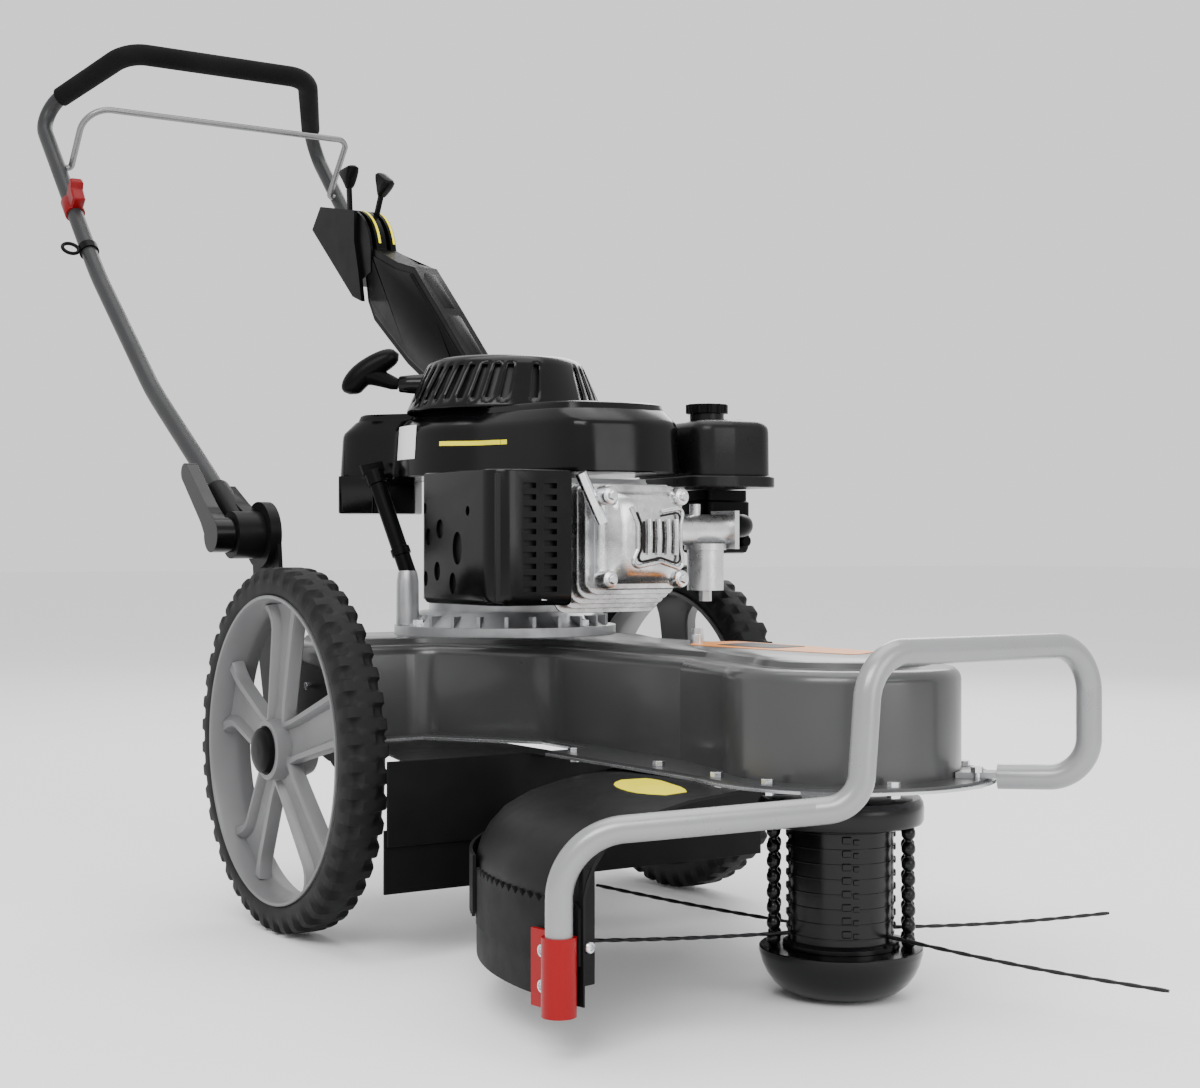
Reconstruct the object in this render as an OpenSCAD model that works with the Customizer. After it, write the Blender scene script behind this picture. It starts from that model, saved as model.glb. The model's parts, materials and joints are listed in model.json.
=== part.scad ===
// Walk-behind wheeled string trimmer.
// Origin: centre of the skid cup's flat bottom, on the cutting head's axis, at ground level.
// +X forwards, +Y to the operator's left, +Z up. Millimetres.

/* [Wheels] */
// Overall diameter of each tyre
wheel_d = 380; // [370:1:390]
// Width of each tyre
tyre_w = 47; // [42:1:48]
// Number of tread lugs on each shoulder
lug_count = 45; // [30:1:60]
// Diameter of the wheel axle
axle_d = 16; // [14:1:18]
// Number of spokes in each rim
spoke_count = 5; // [4:1:6]

/* [Stance] */
// Distance from the cutting head's axis back to the wheel axle
axle_back = 532; // [528:1:536]
// Distance from the wheels' middle plane to each tyre's centre
half_track = 250; // [249:1:253]
// Sideways place of the wheels' middle plane
mid_y = -49; // [-50:1:-48]

/* [Deck] */
// Height of the deck's open lower edge
deck_z = 197; // [197:1:198]
// Height of the deck's shoulder above the ground
deck_top = 295; // [294:1:296]
// Rise of the engine plateau above the shoulder
plateau_h = 7; // [6:1:8]
// Thickness of the deck sheet
sheet = 2.5; // [2:0.5:3]
// Radius of the cover plate's ring round the head
ring_r = 138.5; // [136:0.5:141]

/* [Cutting head] */
// Diameter of the skid cup
cup_d = 147; // [140:1:150]
// Diameter of the head's upper collar
collar_d = 149; // [140:1:152]
// Diameter of the trimmer line
line_d = 4; // [3:0.5:4]
// Number of beads on each line post
bead_count = 8; // [6:1:12]

/* [Guards] */
// Radius of the side skirt about the head's axis
skirt_r = 331; // [329:1:331]
// Diameter of the guard tubes
bar_d = 22; // [20:1:22]
// Height of the front bar's cross tube
front_bar_z = 317; // [300:1:325]

/* [Engine] */
// Distance from the cutting head's axis back to the crankshaft
crank_back = 593; // [591:1:595]
// Radius of the flywheel
flywheel_r = 88; // [80:1:90]
// Bore radius of the cylinder
bore_r = 34; // [30:1:34]

/* [Handle] */
// Diameter of the handle tube
tube_d = 22; // [20:1:22]
// Distance from the middle plane to each handle tube
tube_half = 220; // [219:1:221]
// Outer diameter of the foam grip
grip_d = 30; // [28:1:32]

/* [Hidden] */
$fn = 64;
EPS = 0.01;
RUN = 0.05;                       // radial clearance of a running fit
GAP = 0.3;                        // side clearance between bodies
axle_x = -axle_back;
wheel_r = wheel_d / 2;
axle_r = axle_d / 2;
rim_r = wheel_r - 29;             // seat of the tyre on the rim
hub_in = 22;                      // hub's inner end from the tyre's centre plane
hub_out = 24;                     // hub's outer end from the tyre's centre plane
crank_x = -crank_back;
tube_r = tube_d / 2;
bar_r = bar_d / 2;
bar_wall = 2;
deck_half = 190;                  // half the width of the rear deck
plateau_z = deck_top + plateau_h;
plate_t = 2.5;                    // thickness of the cover plate
plate_z = deck_z - plate_t;       // underside of the cover plate
pivot = [-722, 415];              // handle pivot, x and z
ear_in = deck_half;               // handle bracket's inner face from the middle plane
ear_out = deck_half + 13;         // outer face of the bracket's pivot boss
hub_w0 = ear_out + GAP;           // handle socket hub's inner face
hub_w1 = tube_half + 16;          // handle socket hub's outer face
clamp_w0 = hub_w1 + GAP;          // clamp lever's inner face
spindle_r = 10;
pulley_head_r = 50;
pulley_engine_r = 34;
belt_z = 251;                     // middle height of the belt
idler_pin = [-390, 72];
idler_at = [-300, 81];
lever_pivot = [-1250, 825];
lever_y = [122, 145];             // near side of the throttle and choke levers
lever_t = 6;                      // thickness of a lever
lever_hub = 11;                   // radius of a lever's hub
bail_pivot = [-1390, 945];
dip_foot = [-622, -112, 373];
dip_top = [-662, -136, 490];
dip_dir = (dip_top - dip_foot) / norm(dip_top - dip_foot);
pull_exit = [-656, -95, 590];     // place where the starter rope leaves its cover
pull_dir = [-0.551, -0.834, 0];

// ---------- helpers ----------

function unit(v) = v / norm(v);
function arc(c, r, a0, a1, n) =
  [for (i = [0:n]) let (a = a0 + (a1 - a0) * i / n) c + r * [cos(a), sin(a)]];
// Point on a plane at distance w from the machine's middle, side -1 right, +1 left
function on_side(side, w, xz) = [xz[0], mid_y + side * w, xz[1]];

// Children drawn along Z are laid from the point at, along dir
module along(at, dir) {
  z = unit(dir);
  x = unit(cross(abs(z[2]) < 0.9 ? [0, 0, 1] : [1, 0, 0], z));
  y = cross(z, x);
  multmatrix([[x[0], y[0], z[0], at[0]], [x[1], y[1], z[1], at[1]], [x[2], y[2], z[2], at[2]]])
    children();
}

module rod(a, b, r) {
  along(a, b - a) cylinder(h = norm(b - a), r = r);
}

// Stations [point, direction] along a path, with the bend radius of each inner corner
function stations(pts, bends) = let (
  n = len(pts) - 1,
  dirs = [for (i = [0:n - 1]) unit(pts[i + 1] - pts[i])],
  turn = [for (i = [1:n - 1]) acos(max(-1, min(1, dirs[i - 1] * dirs[i])))])
  concat([[pts[0], dirs[0]]],
    [for (i = [1:n - 1])
      let (
        a = dirs[i - 1],
        x = unit((a * dirs[i]) * a - dirs[i]),
        start = pts[i] - a * bends[i - 1] * tan(turn[i - 1] / 2),
        centre = start - bends[i - 1] * x,
        steps = ceil(turn[i - 1] / 12))
      for (k = [0:steps])
        let (t = turn[i - 1] * k / steps)
        [centre + bends[i - 1] * (cos(t) * x + sin(t) * a), cos(t) * a - sin(t) * x]],
    [[pts[n], dirs[n - 1]]]);

// Reference vectors carried along the path without twist
function carried(st, i, ref) = i == len(st) ? [] :
  let (r = unit(ref - (ref * st[i][1]) * st[i][1])) concat([r], carried(st, i + 1, r));

function rings(st, refs, r, sides) = [for (i = [0:len(st) - 1]) for (j = [0:sides - 1])
  let (a = 360 * j / sides) st[i][0] + r * (cos(a) * refs[i] + sin(a) * cross(st[i][1], refs[i]))];

function skin(first, count, sides) = [for (i = [0:count - 2]) for (j = [0:sides - 1])
  let (k = (j + 1) % sides, p = first + i * sides) [p + j, p + sides + j, p + sides + k, p + k]];

// A round rod of radius r along the points
module bent_rod(pts, bends, r, sides = 14) {
  st = stations(pts, bends);
  refs = carried(st, 0, unit([0.3, 1, 0.2]));
  last = (len(st) - 1) * sides;
  polyhedron(
    points = rings(st, refs, r, sides),
    faces = concat([[for (j = [0:sides - 1]) j]], [[for (j = [sides - 1:-1:0]) last + j]],
      skin(0, len(st), sides)));
}

// The same, hollow to the radius inner
module bent_tube(pts, bends, r, inner, sides = 14) {
  st = stations(pts, bends);
  refs = carried(st, 0, unit([0.3, 1, 0.2]));
  n = len(st) * sides;
  last = n - sides;
  polyhedron(
    points = concat(rings(st, refs, r, sides), rings(st, refs, inner, sides)),
    faces = concat(
      skin(0, len(st), sides),
      [for (f = skin(n, len(st), sides)) [f[3], f[2], f[1], f[0]]],
      [for (j = [0:sides - 1]) let (k = (j + 1) % sides) [j, k, n + k, n + j]],
      [for (j = [0:sides - 1]) let (k = (j + 1) % sides) [last + k, last + j, last + n + j, last + n + k]]));
}

// A plate drawn in x and z, standing between two distances from the middle plane
module side_plate(side, w0, w1) {
  y0 = mid_y + (side < 0 ? -w1 : w0);
  translate([0, y0 + (w1 - w0), 0]) rotate([90, 0, 0]) linear_extrude(w1 - w0) children();
}

// A plate drawn in x and z between two y values
module xz_plate(y0, y1) {
  translate([0, y1, 0]) rotate([90, 0, 0]) linear_extrude(y1 - y0) children();
}

// A plate drawn in y and z between two x values
module yz_plate(x0, x1) {
  translate([x0, 0, 0]) rotate([90, 0, 90]) linear_extrude(x1 - x0) children();
}

// A round pin between two distances from the middle plane
module side_pin(side, w0, w1, xz, r) {
  rod(on_side(side, w0, xz), on_side(side, w1, xz), r);
}

// Wheel parts are drawn with Z along the axle, pointing outboard
module at_wheel(side) {
  translate([axle_x, mid_y + side * half_track, wheel_r]) rotate([side < 0 ? 90 : -90, 0, 0]) children();
}

// A hexagon head with its shank below the plane z = 0
module bolt(head_af, head_h, shank_r, shank_l) {
  cylinder(h = head_h, d = head_af / cos(30), $fn = 6);
  translate([0, 0, -shank_l]) cylinder(h = shank_l + EPS, r = shank_r);
}

module rounded(r) {
  offset(r) offset(delta = -r) children();
}

// ---------- deck and frame ----------

// Plan outline of the deck's wall
module deck_outline() {
  rounded(9) polygon(concat(
    [[-720, mid_y - deck_half], [-518, mid_y - deck_half], [-518, -148], [-392, -62], [-150, -70]],
    arc([0, 0], 107, -128, 90, 24),
    [[-390, 107], [-470, mid_y + deck_half], [-720, mid_y + deck_half]]));
}

// Plan outline of the flat rim that the cover plate bolts to
module flange_outline(grow) {
  intersection() {
    union() {
      offset(delta = 14 + grow) deck_outline();
      circle(ring_r - 4.5 + grow);
      translate([-290 - grow, -130 - grow]) square([290 + 2 * grow, 150]);
    }
    translate([-505, -200]) square([700, 400]);
  }
}

module deck_ring(z0, z1, outer, inner) {
  translate([0, 0, z0]) linear_extrude(z1 - z0) difference() {
    offset(delta = -outer) deck_outline();
    offset(delta = -inner) deck_outline();
  }
}

module deck_shell() {
  step = 28;
  color("#55575a") {
    difference() {
      union() {
        deck_ring(deck_z, deck_top - 14, 0, sheet);
        deck_ring(deck_top - 14, deck_top - 8, 1.5, sheet + 1.5);
        deck_ring(deck_top - 14 - sheet, deck_top - 14, 0, sheet + 1.5);
        deck_ring(deck_top - 8, deck_top - sheet, 5, sheet + 5);
        deck_ring(deck_top - 8 - sheet, deck_top - 8, 1.5, sheet + 5);
        deck_ring(deck_top - sheet, deck_top, 12, step + sheet);
        deck_ring(deck_top - 2 * sheet, deck_top - sheet, 5, 5 + 4 * sheet);
        deck_ring(deck_top, plateau_z, step, step + sheet);
        translate([0, 0, plateau_z - sheet]) linear_extrude(sheet) offset(delta = -step) deck_outline();
        translate([0, 0, deck_z]) linear_extrude(sheet) difference() {
          flange_outline(0);
          offset(delta = -sheet) deck_outline();
        }
      }
      translate([crank_x, 0, plateau_z - 10]) cylinder(h = 20, r = 45);
      for (p = bolt_places) translate([p[0], p[1], deck_z - 1]) cylinder(h = sheet + 2, r = 3.2);
      for (a = engine_bolts) translate([crank_x, 0, 0] + 112 * [cos(a), sin(a), 0])
        translate([0, 0, plateau_z - 10]) cylinder(h = 20, r = 4.2);
      translate([idler_post[0], idler_post[1], plateau_z - 10]) cylinder(h = 20, r = 4.2);
      bracket_bolt_holes();
      side_pin(1, -deck_half - 10, deck_half + 10, [axle_x, wheel_r], axle_r + 1);
    }
  }
}

bracket_bolts = [-690, -600, -540];
bracket_bolt_z = 250;
bracket_bolt_r = 4;

module bracket_bolt_holes() {
  for (x = bracket_bolts)
    side_pin(1, -deck_half - 20, deck_half + 20, [x, bracket_bolt_z], bracket_bolt_r + RUN);
}

flange_bolt = [-120, -116];
bar_bolt = 125 * [cos(30), sin(30)];    // holds the front bar's flattened end
bar_end_t = 5;                          // thickness of that end
bolt_places = concat(
  [for (a = [-100, -70, -20, 75]) 125 * [cos(a), sin(a)]],
  [bar_bolt, flange_bolt, [-262, -118]]);
engine_bolts = [20, 90, 160, 200, 270];
idler_post = [-275, 42];          // stud on the deck's top over the belt's idler
post_ring = 55;                   // bolt circle of the spindle housing
post_bolts = [45:90:315];

module cover_plate() {
  color("#8d9093") {
    difference() {
      translate([0, 0, plate_z]) linear_extrude(plate_t) union() {
        flange_outline(2);
        circle(ring_r);
      }
      translate([0, 0, plate_z - 1]) cylinder(h = plate_t + 2, r = 33);
      for (p = bolt_places) translate([p[0], p[1], plate_z - 1]) cylinder(h = plate_t + 2, r = 3.2);
      for (a = post_bolts) rotate(a)
        translate([post_ring, 0, plate_z - 1]) cylinder(h = plate_t + 2, r = 3.2);
    }
    // stud that the idler arm turns on
    translate([idler_pin[0], idler_pin[1], plate_z + plate_t]) cylinder(h = 42, r = 5);
    translate([idler_pin[0], idler_pin[1], plate_z + plate_t]) cylinder(h = 32, r = 9);
    // tab that carries the near end of the front bar
    difference() {
      translate([0, 0, plate_z]) linear_extrude(plate_t)
        polygon([[70, -105], [105, -75], [166, -148], [150, -166]]);
      translate([0, 0, plate_z - 1]) cylinder(h = plate_t + 2, r = ring_r - 1);
      rod(bar_join - 40 * bar_dir, bar_join + 20 * bar_dir, bar_r);
    }
  }
}

module frame_bolts() {
  color("#c9ccd0") {
    for (p = bolt_places) {
      under = p == bar_bolt ? bar_end_t : 0;
      translate([p[0], p[1], deck_z + sheet + under]) bolt(10, 5, 3.15, under + sheet + plate_t + 4);
      translate([p[0], p[1], plate_z - 4]) cylinder(h = 4, d = 11.5, $fn = 6);
    }
    for (a = post_bolts) rotate(a)
      translate([post_ring, 0, plate_z + plate_t]) bolt(10, 5, 3.15, plate_t + 6);
    for (a = engine_bolts) translate([crank_x, 0, 0] + 112 * [cos(a), sin(a), 0])
      translate([0, 0, plateau_z + 10]) bolt(13, 7, 4, 22);
    translate([idler_post[0], idler_post[1], plateau_z]) {
      cylinder(h = 9, r = 7);
      translate([0, 0, 9]) bolt(11, 6, 4, 18);
    }
    // carriage bolts that hold the handle brackets to the deck's sides
    for (side = [-1, 1]) for (x = bracket_bolts)
      side_pin(side, deck_half - sheet - 4, deck_half + 10, [x, bracket_bolt_z], bracket_bolt_r);
  }
}

// ---------- guard bars and skirt ----------

foot_at = [60, -338];
bar_join = [157, -161, 193];
side_path = [[foot_at[0], foot_at[1], 39], [foot_at[0], foot_at[1], 177], bar_join];
bar_dir = unit(bar_join - side_path[1]);
front_path = [bar_join, [178, -133, 197], [173, -118, front_bar_z], [173, 132, front_bar_z],
              [173, 132, 202], [112, 84, 200]];

module side_bar() {
  spigot = bar_join + 18 * unit(front_path[1] - front_path[0]);
  color("#b9bcc0") {
    bent_tube(side_path, [55], bar_r, bar_r - bar_wall);
    difference() {
      rod(bar_join - 18 * bar_dir, spigot, bar_r - bar_wall - RUN);
      rod(bar_join - 19 * bar_dir, spigot + bar_dir, bar_r - bar_wall - 2);
    }
  }
}

module front_bar() {
  tip = front_path[5];
  color("#b9bcc0") {
    bent_tube(front_path, [30, 42, 42, 35], bar_r, bar_r - bar_wall);
    // flattened end that bolts to the deck's rim
    translate([0, 0, deck_z + sheet]) linear_extrude(bar_end_t) difference() {
      polygon([tip_xy(tip, 1), tip_xy(tip, -1), [94, 44], [80, 60]]);
      circle(108);
      translate(bar_bolt) circle(3.2);
    }
  }
}

function tip_xy(tip, s) = [tip[0], tip[1]] + s * 12 * unit([-48, 61]);

// Tube clamp with a flat ear that is bolted through the skirt's rubber
module foot_bracket() {
  foot_z = 36;
  foot_h = 62;
  axis_r = norm(foot_at);         // distance of the tube from the head's axis
  color("#d8232f") rotate(atan2(foot_at[1], foot_at[0]) - 90) difference() {
    union() {
      translate([0, 0, foot_z]) linear_extrude(foot_h) difference() {
        translate([0, axis_r]) circle(bar_r + 3);
        translate([-20, skirt_r - 19.4]) square([40, 20]);
      }
      // the ear lies along the skirt, just outside it
      translate([0, 0, foot_z]) linear_extrude(foot_h)
        polygon([[-4, skirt_r + 1.7], [44, skirt_r - 1.5], [44, skirt_r + 2.6], [-4, skirt_r + 5.8]]);
    }
    translate([0, axis_r, side_path[0][2]]) cylinder(h = foot_h, r = bar_r);
  }
}

// Skirt wall between two radii, heights and angles about the head's axis
module skirt_arc(profile, a0, a1) {
  rotate(a0) rotate_extrude(angle = a1 - a0) polygon(profile);
}

module skirt_shield() {
  r = skirt_r;
  outer = [[140, deck_z - plate_t], [236, 189], [284, 178], [312, 160], [r - 3, 130], [r - 3, 92]];
  inner = [for (p = outer) [p[0] - (p[0] < 150 ? 0 : 3), p[1] - (p[0] > 312 ? 0 : 3)]];
  color("#2c2d2f") {
    difference() {
      skirt_arc(concat(outer, [for (i = [len(inner) - 1:-1:0]) inner[i]]), -158, -78);
      // room for the nut of a flange bolt
      translate([flange_bolt[0], flange_bolt[1], 170]) cylinder(h = 40, r = 8);
    }
  }
}

module rubber_flaps() {
  r = skirt_r;
  color("#1c1c1d") {
    skirt_arc([[r - 3, 42], [r, 42], [r, 126], [r - 3, 126]], -158, -78);
    // hanging flap behind the head
    yz_plate(-334, -331) polygon([[-290, 66], [170, 66], [170, 128], [-290, 128]]);
  }
}

module rear_panel() {
  color("#333436") {
    yz_plate(-331, -328) polygon([[-288, 112], [172, 112], [172, plate_z], [-288, plate_z]]);
    // folded upper edge under the cover plate
    translate([-328, -128, plate_z - 3]) cube([28, 230, 3]);
    // wing that closes the corner between the deck and the right wheel
    translate([0, 0, plate_z - 3]) linear_extrude(3)
      polygon([[-331, -268], [-331, -100], [-420, -100], [-505, -160], [-505, -225]]);
  }
}

// ---------- running gear ----------

module wheel_axle() {
  end = half_track + hub_out + 5;
  color("#b9bcc0") {
    rod(on_side(-1, end, [axle_x, wheel_r]), on_side(1, end, [axle_x, wheel_r]), axle_r);
    for (side = [-1, 1])
      side_pin(side, half_track - hub_in - GAP - 5, half_track - hub_in - GAP, [axle_x, wheel_r], axle_r + 6);
  }
}

// Upright ear that carries the axle, the deck's side and the handle pivot
module bracket(side) {
  color("#232426") {
    difference() {
      union() {
        side_plate(side, ear_in, ear_in + 5) union() {
          polygon([[-758, 408], [-750, 320], [-722, 215], [-552, 172], [-512, 172], [-508, 262], [-640, 276],
                   [-676, 326], [-685, 405]]);
          translate(pivot) circle(38);
          translate([axle_x, wheel_r]) circle(24);
        }
        side_pin(side, ear_in, ear_out, pivot, 38);
      }
      side_pin(side, ear_in - 1, ear_out + 1, pivot, 6 + RUN);
      side_pin(side, ear_in - 1, ear_out + 1, [axle_x, wheel_r], axle_r);
      bracket_bolt_holes();
    }
  }
}

module bracket_right() {
  bracket(-1);
}

module bracket_left() {
  bracket(1);
}

// Outline of one shoulder's lugs: [share of a pitch, on the crown or not]
lug_steps = [[0, 0], [0.42, 0], [0.5, 1], [0.92, 1]];
lug_h = 5.4;

function lug_ring(shift) = [for (i = [0:lug_count - 1]) for (k = lug_steps)
  let (a = 360 * (i + k[0] + shift) / lug_count)
  (wheel_r - 6 + lug_h * k[1]) * [cos(a), sin(a)]];

module tyre(side) {
  half = tyre_w / 2;
  band = 9;
  color("#2b2b2c") at_wheel(side) difference() {
    union() {
      translate([0, 0, -half]) linear_extrude(half - band) polygon(lug_ring(0));
      translate([0, 0, -band]) cylinder(h = 2 * band, r = wheel_r);
      translate([0, 0, band]) linear_extrude(half - band) polygon(lug_ring(0.5));
    }
    translate([0, 0, -half - 1]) cylinder(h = tyre_w + 2, r = rim_r);
  }
}

module tyre_right() {
  tyre(-1);
}

module tyre_left() {
  tyre(1);
}

module rim(side) {
  hub_r = 30;
  barrel = 5;
  color("#a9abad") at_wheel(side) difference() {
    union() {
      difference() {
        translate([0, 0, -tyre_w / 2]) cylinder(h = tyre_w + 0.5, r = rim_r);
        translate([0, 0, -tyre_w]) cylinder(h = 2 * tyre_w, r = rim_r - barrel);
      }
      translate([0, 0, -hub_in]) cylinder(h = hub_in + hub_out, r = hub_r);
      for (i = [0:spoke_count - 1]) rotate(90 + 360 * i / spoke_count) {
        translate([0, 0, -8]) linear_extrude(6)
          polygon([[hub_r - 12, -13], [rim_r - 3, -26], [rim_r - 3, 26], [hub_r - 12, 13]]);
        for (s = [-1, 1]) translate([0, 0, -16]) linear_extrude(34)
          polygon([[hub_r - 10, s * 10.5], [rim_r - 2.5, s * 21],
                   [rim_r - 2.5, s * 25.5], [hub_r - 10, s * 15]]);
      }
    }
    translate([0, 0, -tyre_w]) cylinder(h = 2 * tyre_w, r = axle_r + RUN);
  }
}

module rim_right() {
  rim(-1);
}

module rim_left() {
  rim(1);
}

module hub_cap(side) {
  color("#26272a") at_wheel(side) translate([0, 0, hub_out]) difference() {
    union() {
      cylinder(h = 8, r = 24);
      translate([0, 0, 8]) cylinder(h = 4, r1 = 24, r2 = 20);
    }
    translate([0, 0, -1]) cylinder(h = 9, r = axle_r + 5);
  }
}

module hub_cap_right() {
  hub_cap(-1);
}

module hub_cap_left() {
  hub_cap(1);
}

// ---------- cutting head and drive ----------

module spindle_housing() {
  color("#9b9ea1") difference() {
    union() {
      translate([0, 0, 184]) cylinder(h = plate_z - 184, r = 66);
      translate([0, 0, 184]) cylinder(h = 52, r = 32.5);
    }
    translate([0, 0, 186]) cylinder(h = 60, r = 23.5);
    translate([0, 0, 180]) cylinder(h = 10, r = 18);
    for (a = post_bolts) rotate(a) translate([post_ring, 0, 180]) cylinder(h = 20, r = 3.2);
  }
}

module spindle_bearings() {
  color("#c4c7ca") for (z = [186, 221]) translate([0, 0, z]) difference() {
    cylinder(h = 14, r = 23.5);
    translate([0, 0, -1]) cylinder(h = 16, r = spindle_r + RUN);
    for (s = [-2, 13]) translate([0, 0, s]) difference() {
      cylinder(h = 3, r = 20);
      cylinder(h = 3, r = 14);
    }
  }
}

module spindle() {
  color("#c4c7ca") {
    translate([0, 0, 12]) cylinder(h = 251, r = spindle_r);
    translate([0, 0, 178]) cylinder(h = 7.5, r = 14);
    translate([0, 0, 262.5]) cylinder(h = 10, d = 30, $fn = 6);
  }
}

module v_pulley(r, root, half_w) {
  rotate_extrude() polygon([[spindle_r, -half_w], [r, -half_w], [r, -half_w + 3], [root, -2], [root, 2],
                            [r, half_w - 3], [r, half_w], [spindle_r, half_w]]);
}

module spindle_pulley() {
  color("#8f9295") translate([0, 0, belt_z]) v_pulley(pulley_head_r, 43, 11);
}

module engine_pulley() {
  color("#8f9295") translate([crank_x, 0, belt_z]) v_pulley(pulley_engine_r, 27, 11);
}

belt_profile = [[1, -2.3], [7, -7], [9, -7], [9, 7], [7, 7], [1, 2.3]];

belt_r = [27.9, 43.9];            // belt's inner radius on the engine and head pulleys

// Stations [centre x, radius, angle] round the belt's loop
function belt_loop(lean) = concat(
  [for (i = [0:20]) [0, belt_r[1], -90 - lean + (180 + 2 * lean) * i / 20]],
  [for (i = [0:16]) [crank_x, belt_r[0], 90 + lean + (180 - 2 * lean) * i / 16]]);

module drive_belt() {
  loop = belt_loop(asin((belt_r[1] - belt_r[0]) / crank_back));
  sides = len(belt_profile);
  count = len(loop);
  color("#1d1d1e") polyhedron(
    points = [for (st = loop) for (p = belt_profile)
      [st[0] + (st[1] - 1 + p[0]) * cos(st[2]), (st[1] - 1 + p[0]) * sin(st[2]), belt_z + p[1]]],
    faces = [for (i = [0:count - 1]) for (j = [0:sides - 1])
      let (k = (j + 1) % sides, a = i * sides, b = ((i + 1) % count) * sides) [a + j, a + k, b + k, b + j]]);
}

module idler_arm() {
  reach = norm(idler_at - idler_pin);
  turn = atan2(idler_at[1] - idler_pin[1], idler_at[0] - idler_pin[0]);
  color("#b9bcc0") translate([idler_pin[0], idler_pin[1], 229.3]) rotate(turn) {
    difference() {
      union() {
        cylinder(h = 5, r = 12);
        translate([0, -9, 0]) cube([reach, 18, 5]);
        translate([reach, 0, 0]) cylinder(h = 5, r = 10);
      }
      translate([0, 0, -1]) cylinder(h = 8, r = 5 + RUN);
    }
    translate([reach, 0, 5]) cylinder(h = 34, r = 5);
  }
}

module idler_pulley() {
  color("#8f9295") translate([idler_at[0], idler_at[1], belt_z - 9]) difference() {
    union() {
      cylinder(h = 18, r = 17);
      cylinder(h = 1.5, r = 20);
      translate([0, 0, 16.5]) cylinder(h = 1.5, r = 20);
    }
    translate([0, 0, -1]) cylinder(h = 20, r = 5 + RUN);
  }
}

module line_spool() {
  r = collar_d / 2;
  color("#1d1e20") difference() {
    rotate_extrude() polygon([[spindle_r, 43], [52, 43], [52, 47], [46, 50], [46, 153], [r - 4, 153],
                              [r, 157], [r, 178], [spindle_r, 178], [spindle_r, 170], [42, 160],
                              [42, 50], [spindle_r, 47]]);
    // louvre windows round the core
    for (a = [0:30:330]) rotate(a) for (z = [64:22:130]) translate([38, -7, z]) cube([12, 14, 12]);
  }
}

module skid_cup() {
  r = cup_d / 2;
  boss = 18;
  color("#151617") rotate_extrude() polygon([[0, 0], [38, 0], [54, 5], [66, 18], [r, 37], [r, 43], [52, 43],
    [52, 39.8], [r - 4, 39.8], [r - 4, 38], [62, 21], [51, 9], [37, 4], [boss, 4], [boss, 36],
    [spindle_r, 36], [spindle_r, 12], [0, 12]]);
}

post_angles = [-142, -120, 38, 60];

module line_posts() {
  z0 = 43;
  pitch = (153 - z0) / bead_count;
  bead = [[3.2, 0], [6.4, 0.25], [6.4, 0.75], [3.2, 1]];
  profile = concat([[0, z0]],
    [for (i = [0:bead_count - 1]) for (k = bead) [k[0], z0 + pitch * (i + k[1])]],
    [[0, z0 + pitch * bead_count]]);
  color("#1d1e20") for (a = post_angles) rotate(a) translate([61, 0, 0]) rotate_extrude() polygon(profile);
}

line_tips = [[78, 263, 56], [282, 105, 42], [-284, -76, 62], [-89, -238, 58]];

module trimmer_lines() {
  color("#1a1a1b") for (tip = line_tips) {
    start = [tip[0], tip[1], 0] * 44 / norm([tip[0], tip[1]]) + [0, 0, 56];
    rod(start, tip, line_d / 2);
  }
}

// ---------- engine ----------

head_z = 411;                     // height of the cylinder's axis

module crankcase() {
  color("#aeb1b4") difference() {
    union() {
      translate([crank_x, 0, plateau_z]) cylinder(h = 10, r = 128);
      translate([crank_x, 0, plateau_z + 10]) cylinder(h = 16, r1 = 118, r2 = 98);
      translate([crank_x, 0, plateau_z + 26]) cylinder(h = 140, r = 88);
      // ribs round the base
      for (a = [0:15:345]) rotate_about(a) translate([84, -2, plateau_z + 8]) cube([35, 4, 14]);
      // cooling fins round the cylinder
      for (x = [-500:12:-404]) yz_plate(x, x + 4) fin_outline(64);
      yz_plate(-530, -396) translate([0, head_z]) circle(bore_r + 8);
      yz_plate(-404, -392) fin_outline(60);
    }
    translate([crank_x, 0, plateau_z + 24]) cylinder(h = 132, r = 78);
    translate([crank_x, 0, plateau_z - 1]) cylinder(h = 200, r = 12 + RUN);
    rod([-540, 0, head_z], [-380, 0, head_z], bore_r);
    for (a = engine_bolts) rotate_about(a) translate([112, 0, plateau_z - 1]) cylinder(h = 11, r = 4);
    for (a = engine_bolts) rotate_about(a) translate([112, 0, plateau_z + 10]) cylinder(h = 30, r = 9);
  }
}

module rotate_about(a) {
  translate([crank_x, 0, 0]) rotate(a) children();
}

module fin_outline(half) {
  translate([-half, head_z - half]) square(2 * half);
}

module cylinder_head() {
  color("#a3a6a9") difference() {
    union() {
      yz_plate(-392, -384) fin_outline(56.7);
      for (x = [-378, -366, -354]) yz_plate(x, x + 5) fin_outline(56.7);
      yz_plate(-384, -336) fin_outline(44);
      yz_plate(-336, -326) fin_outline(52);
    }
    rod([-393, 0, head_z], [-384, 0, head_z], bore_r - 4);
    rod([-365, -70, head_z + 20], [-365, -36, head_z + 20], 7.2);
  }
}

module valve_cover() {
  color("#c9cbcd") difference() {
    union() {
      yz_plate(-326, -318) cover_outline(0);
      yz_plate(-318, -306) cover_outline(6);
      yz_plate(-306, -303) cover_outline(14);
      // raised centre panel
      yz_plate(-303, -299) translate([-16, head_z - 30]) square([32, 60]);
      for (y = [-43, 47]) for (z = [-43, 43]) rod([-326, y, head_z + z], [-306, y, head_z + z], 10);
    }
    yz_plate(-327, -309) offset(delta = -12) cover_outline(0);
    for (y = [-43, 47]) for (z = [-43, 43]) rod([-330, y, head_z + z], [-300, y, head_z + z], 3.2);
  }
}

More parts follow.
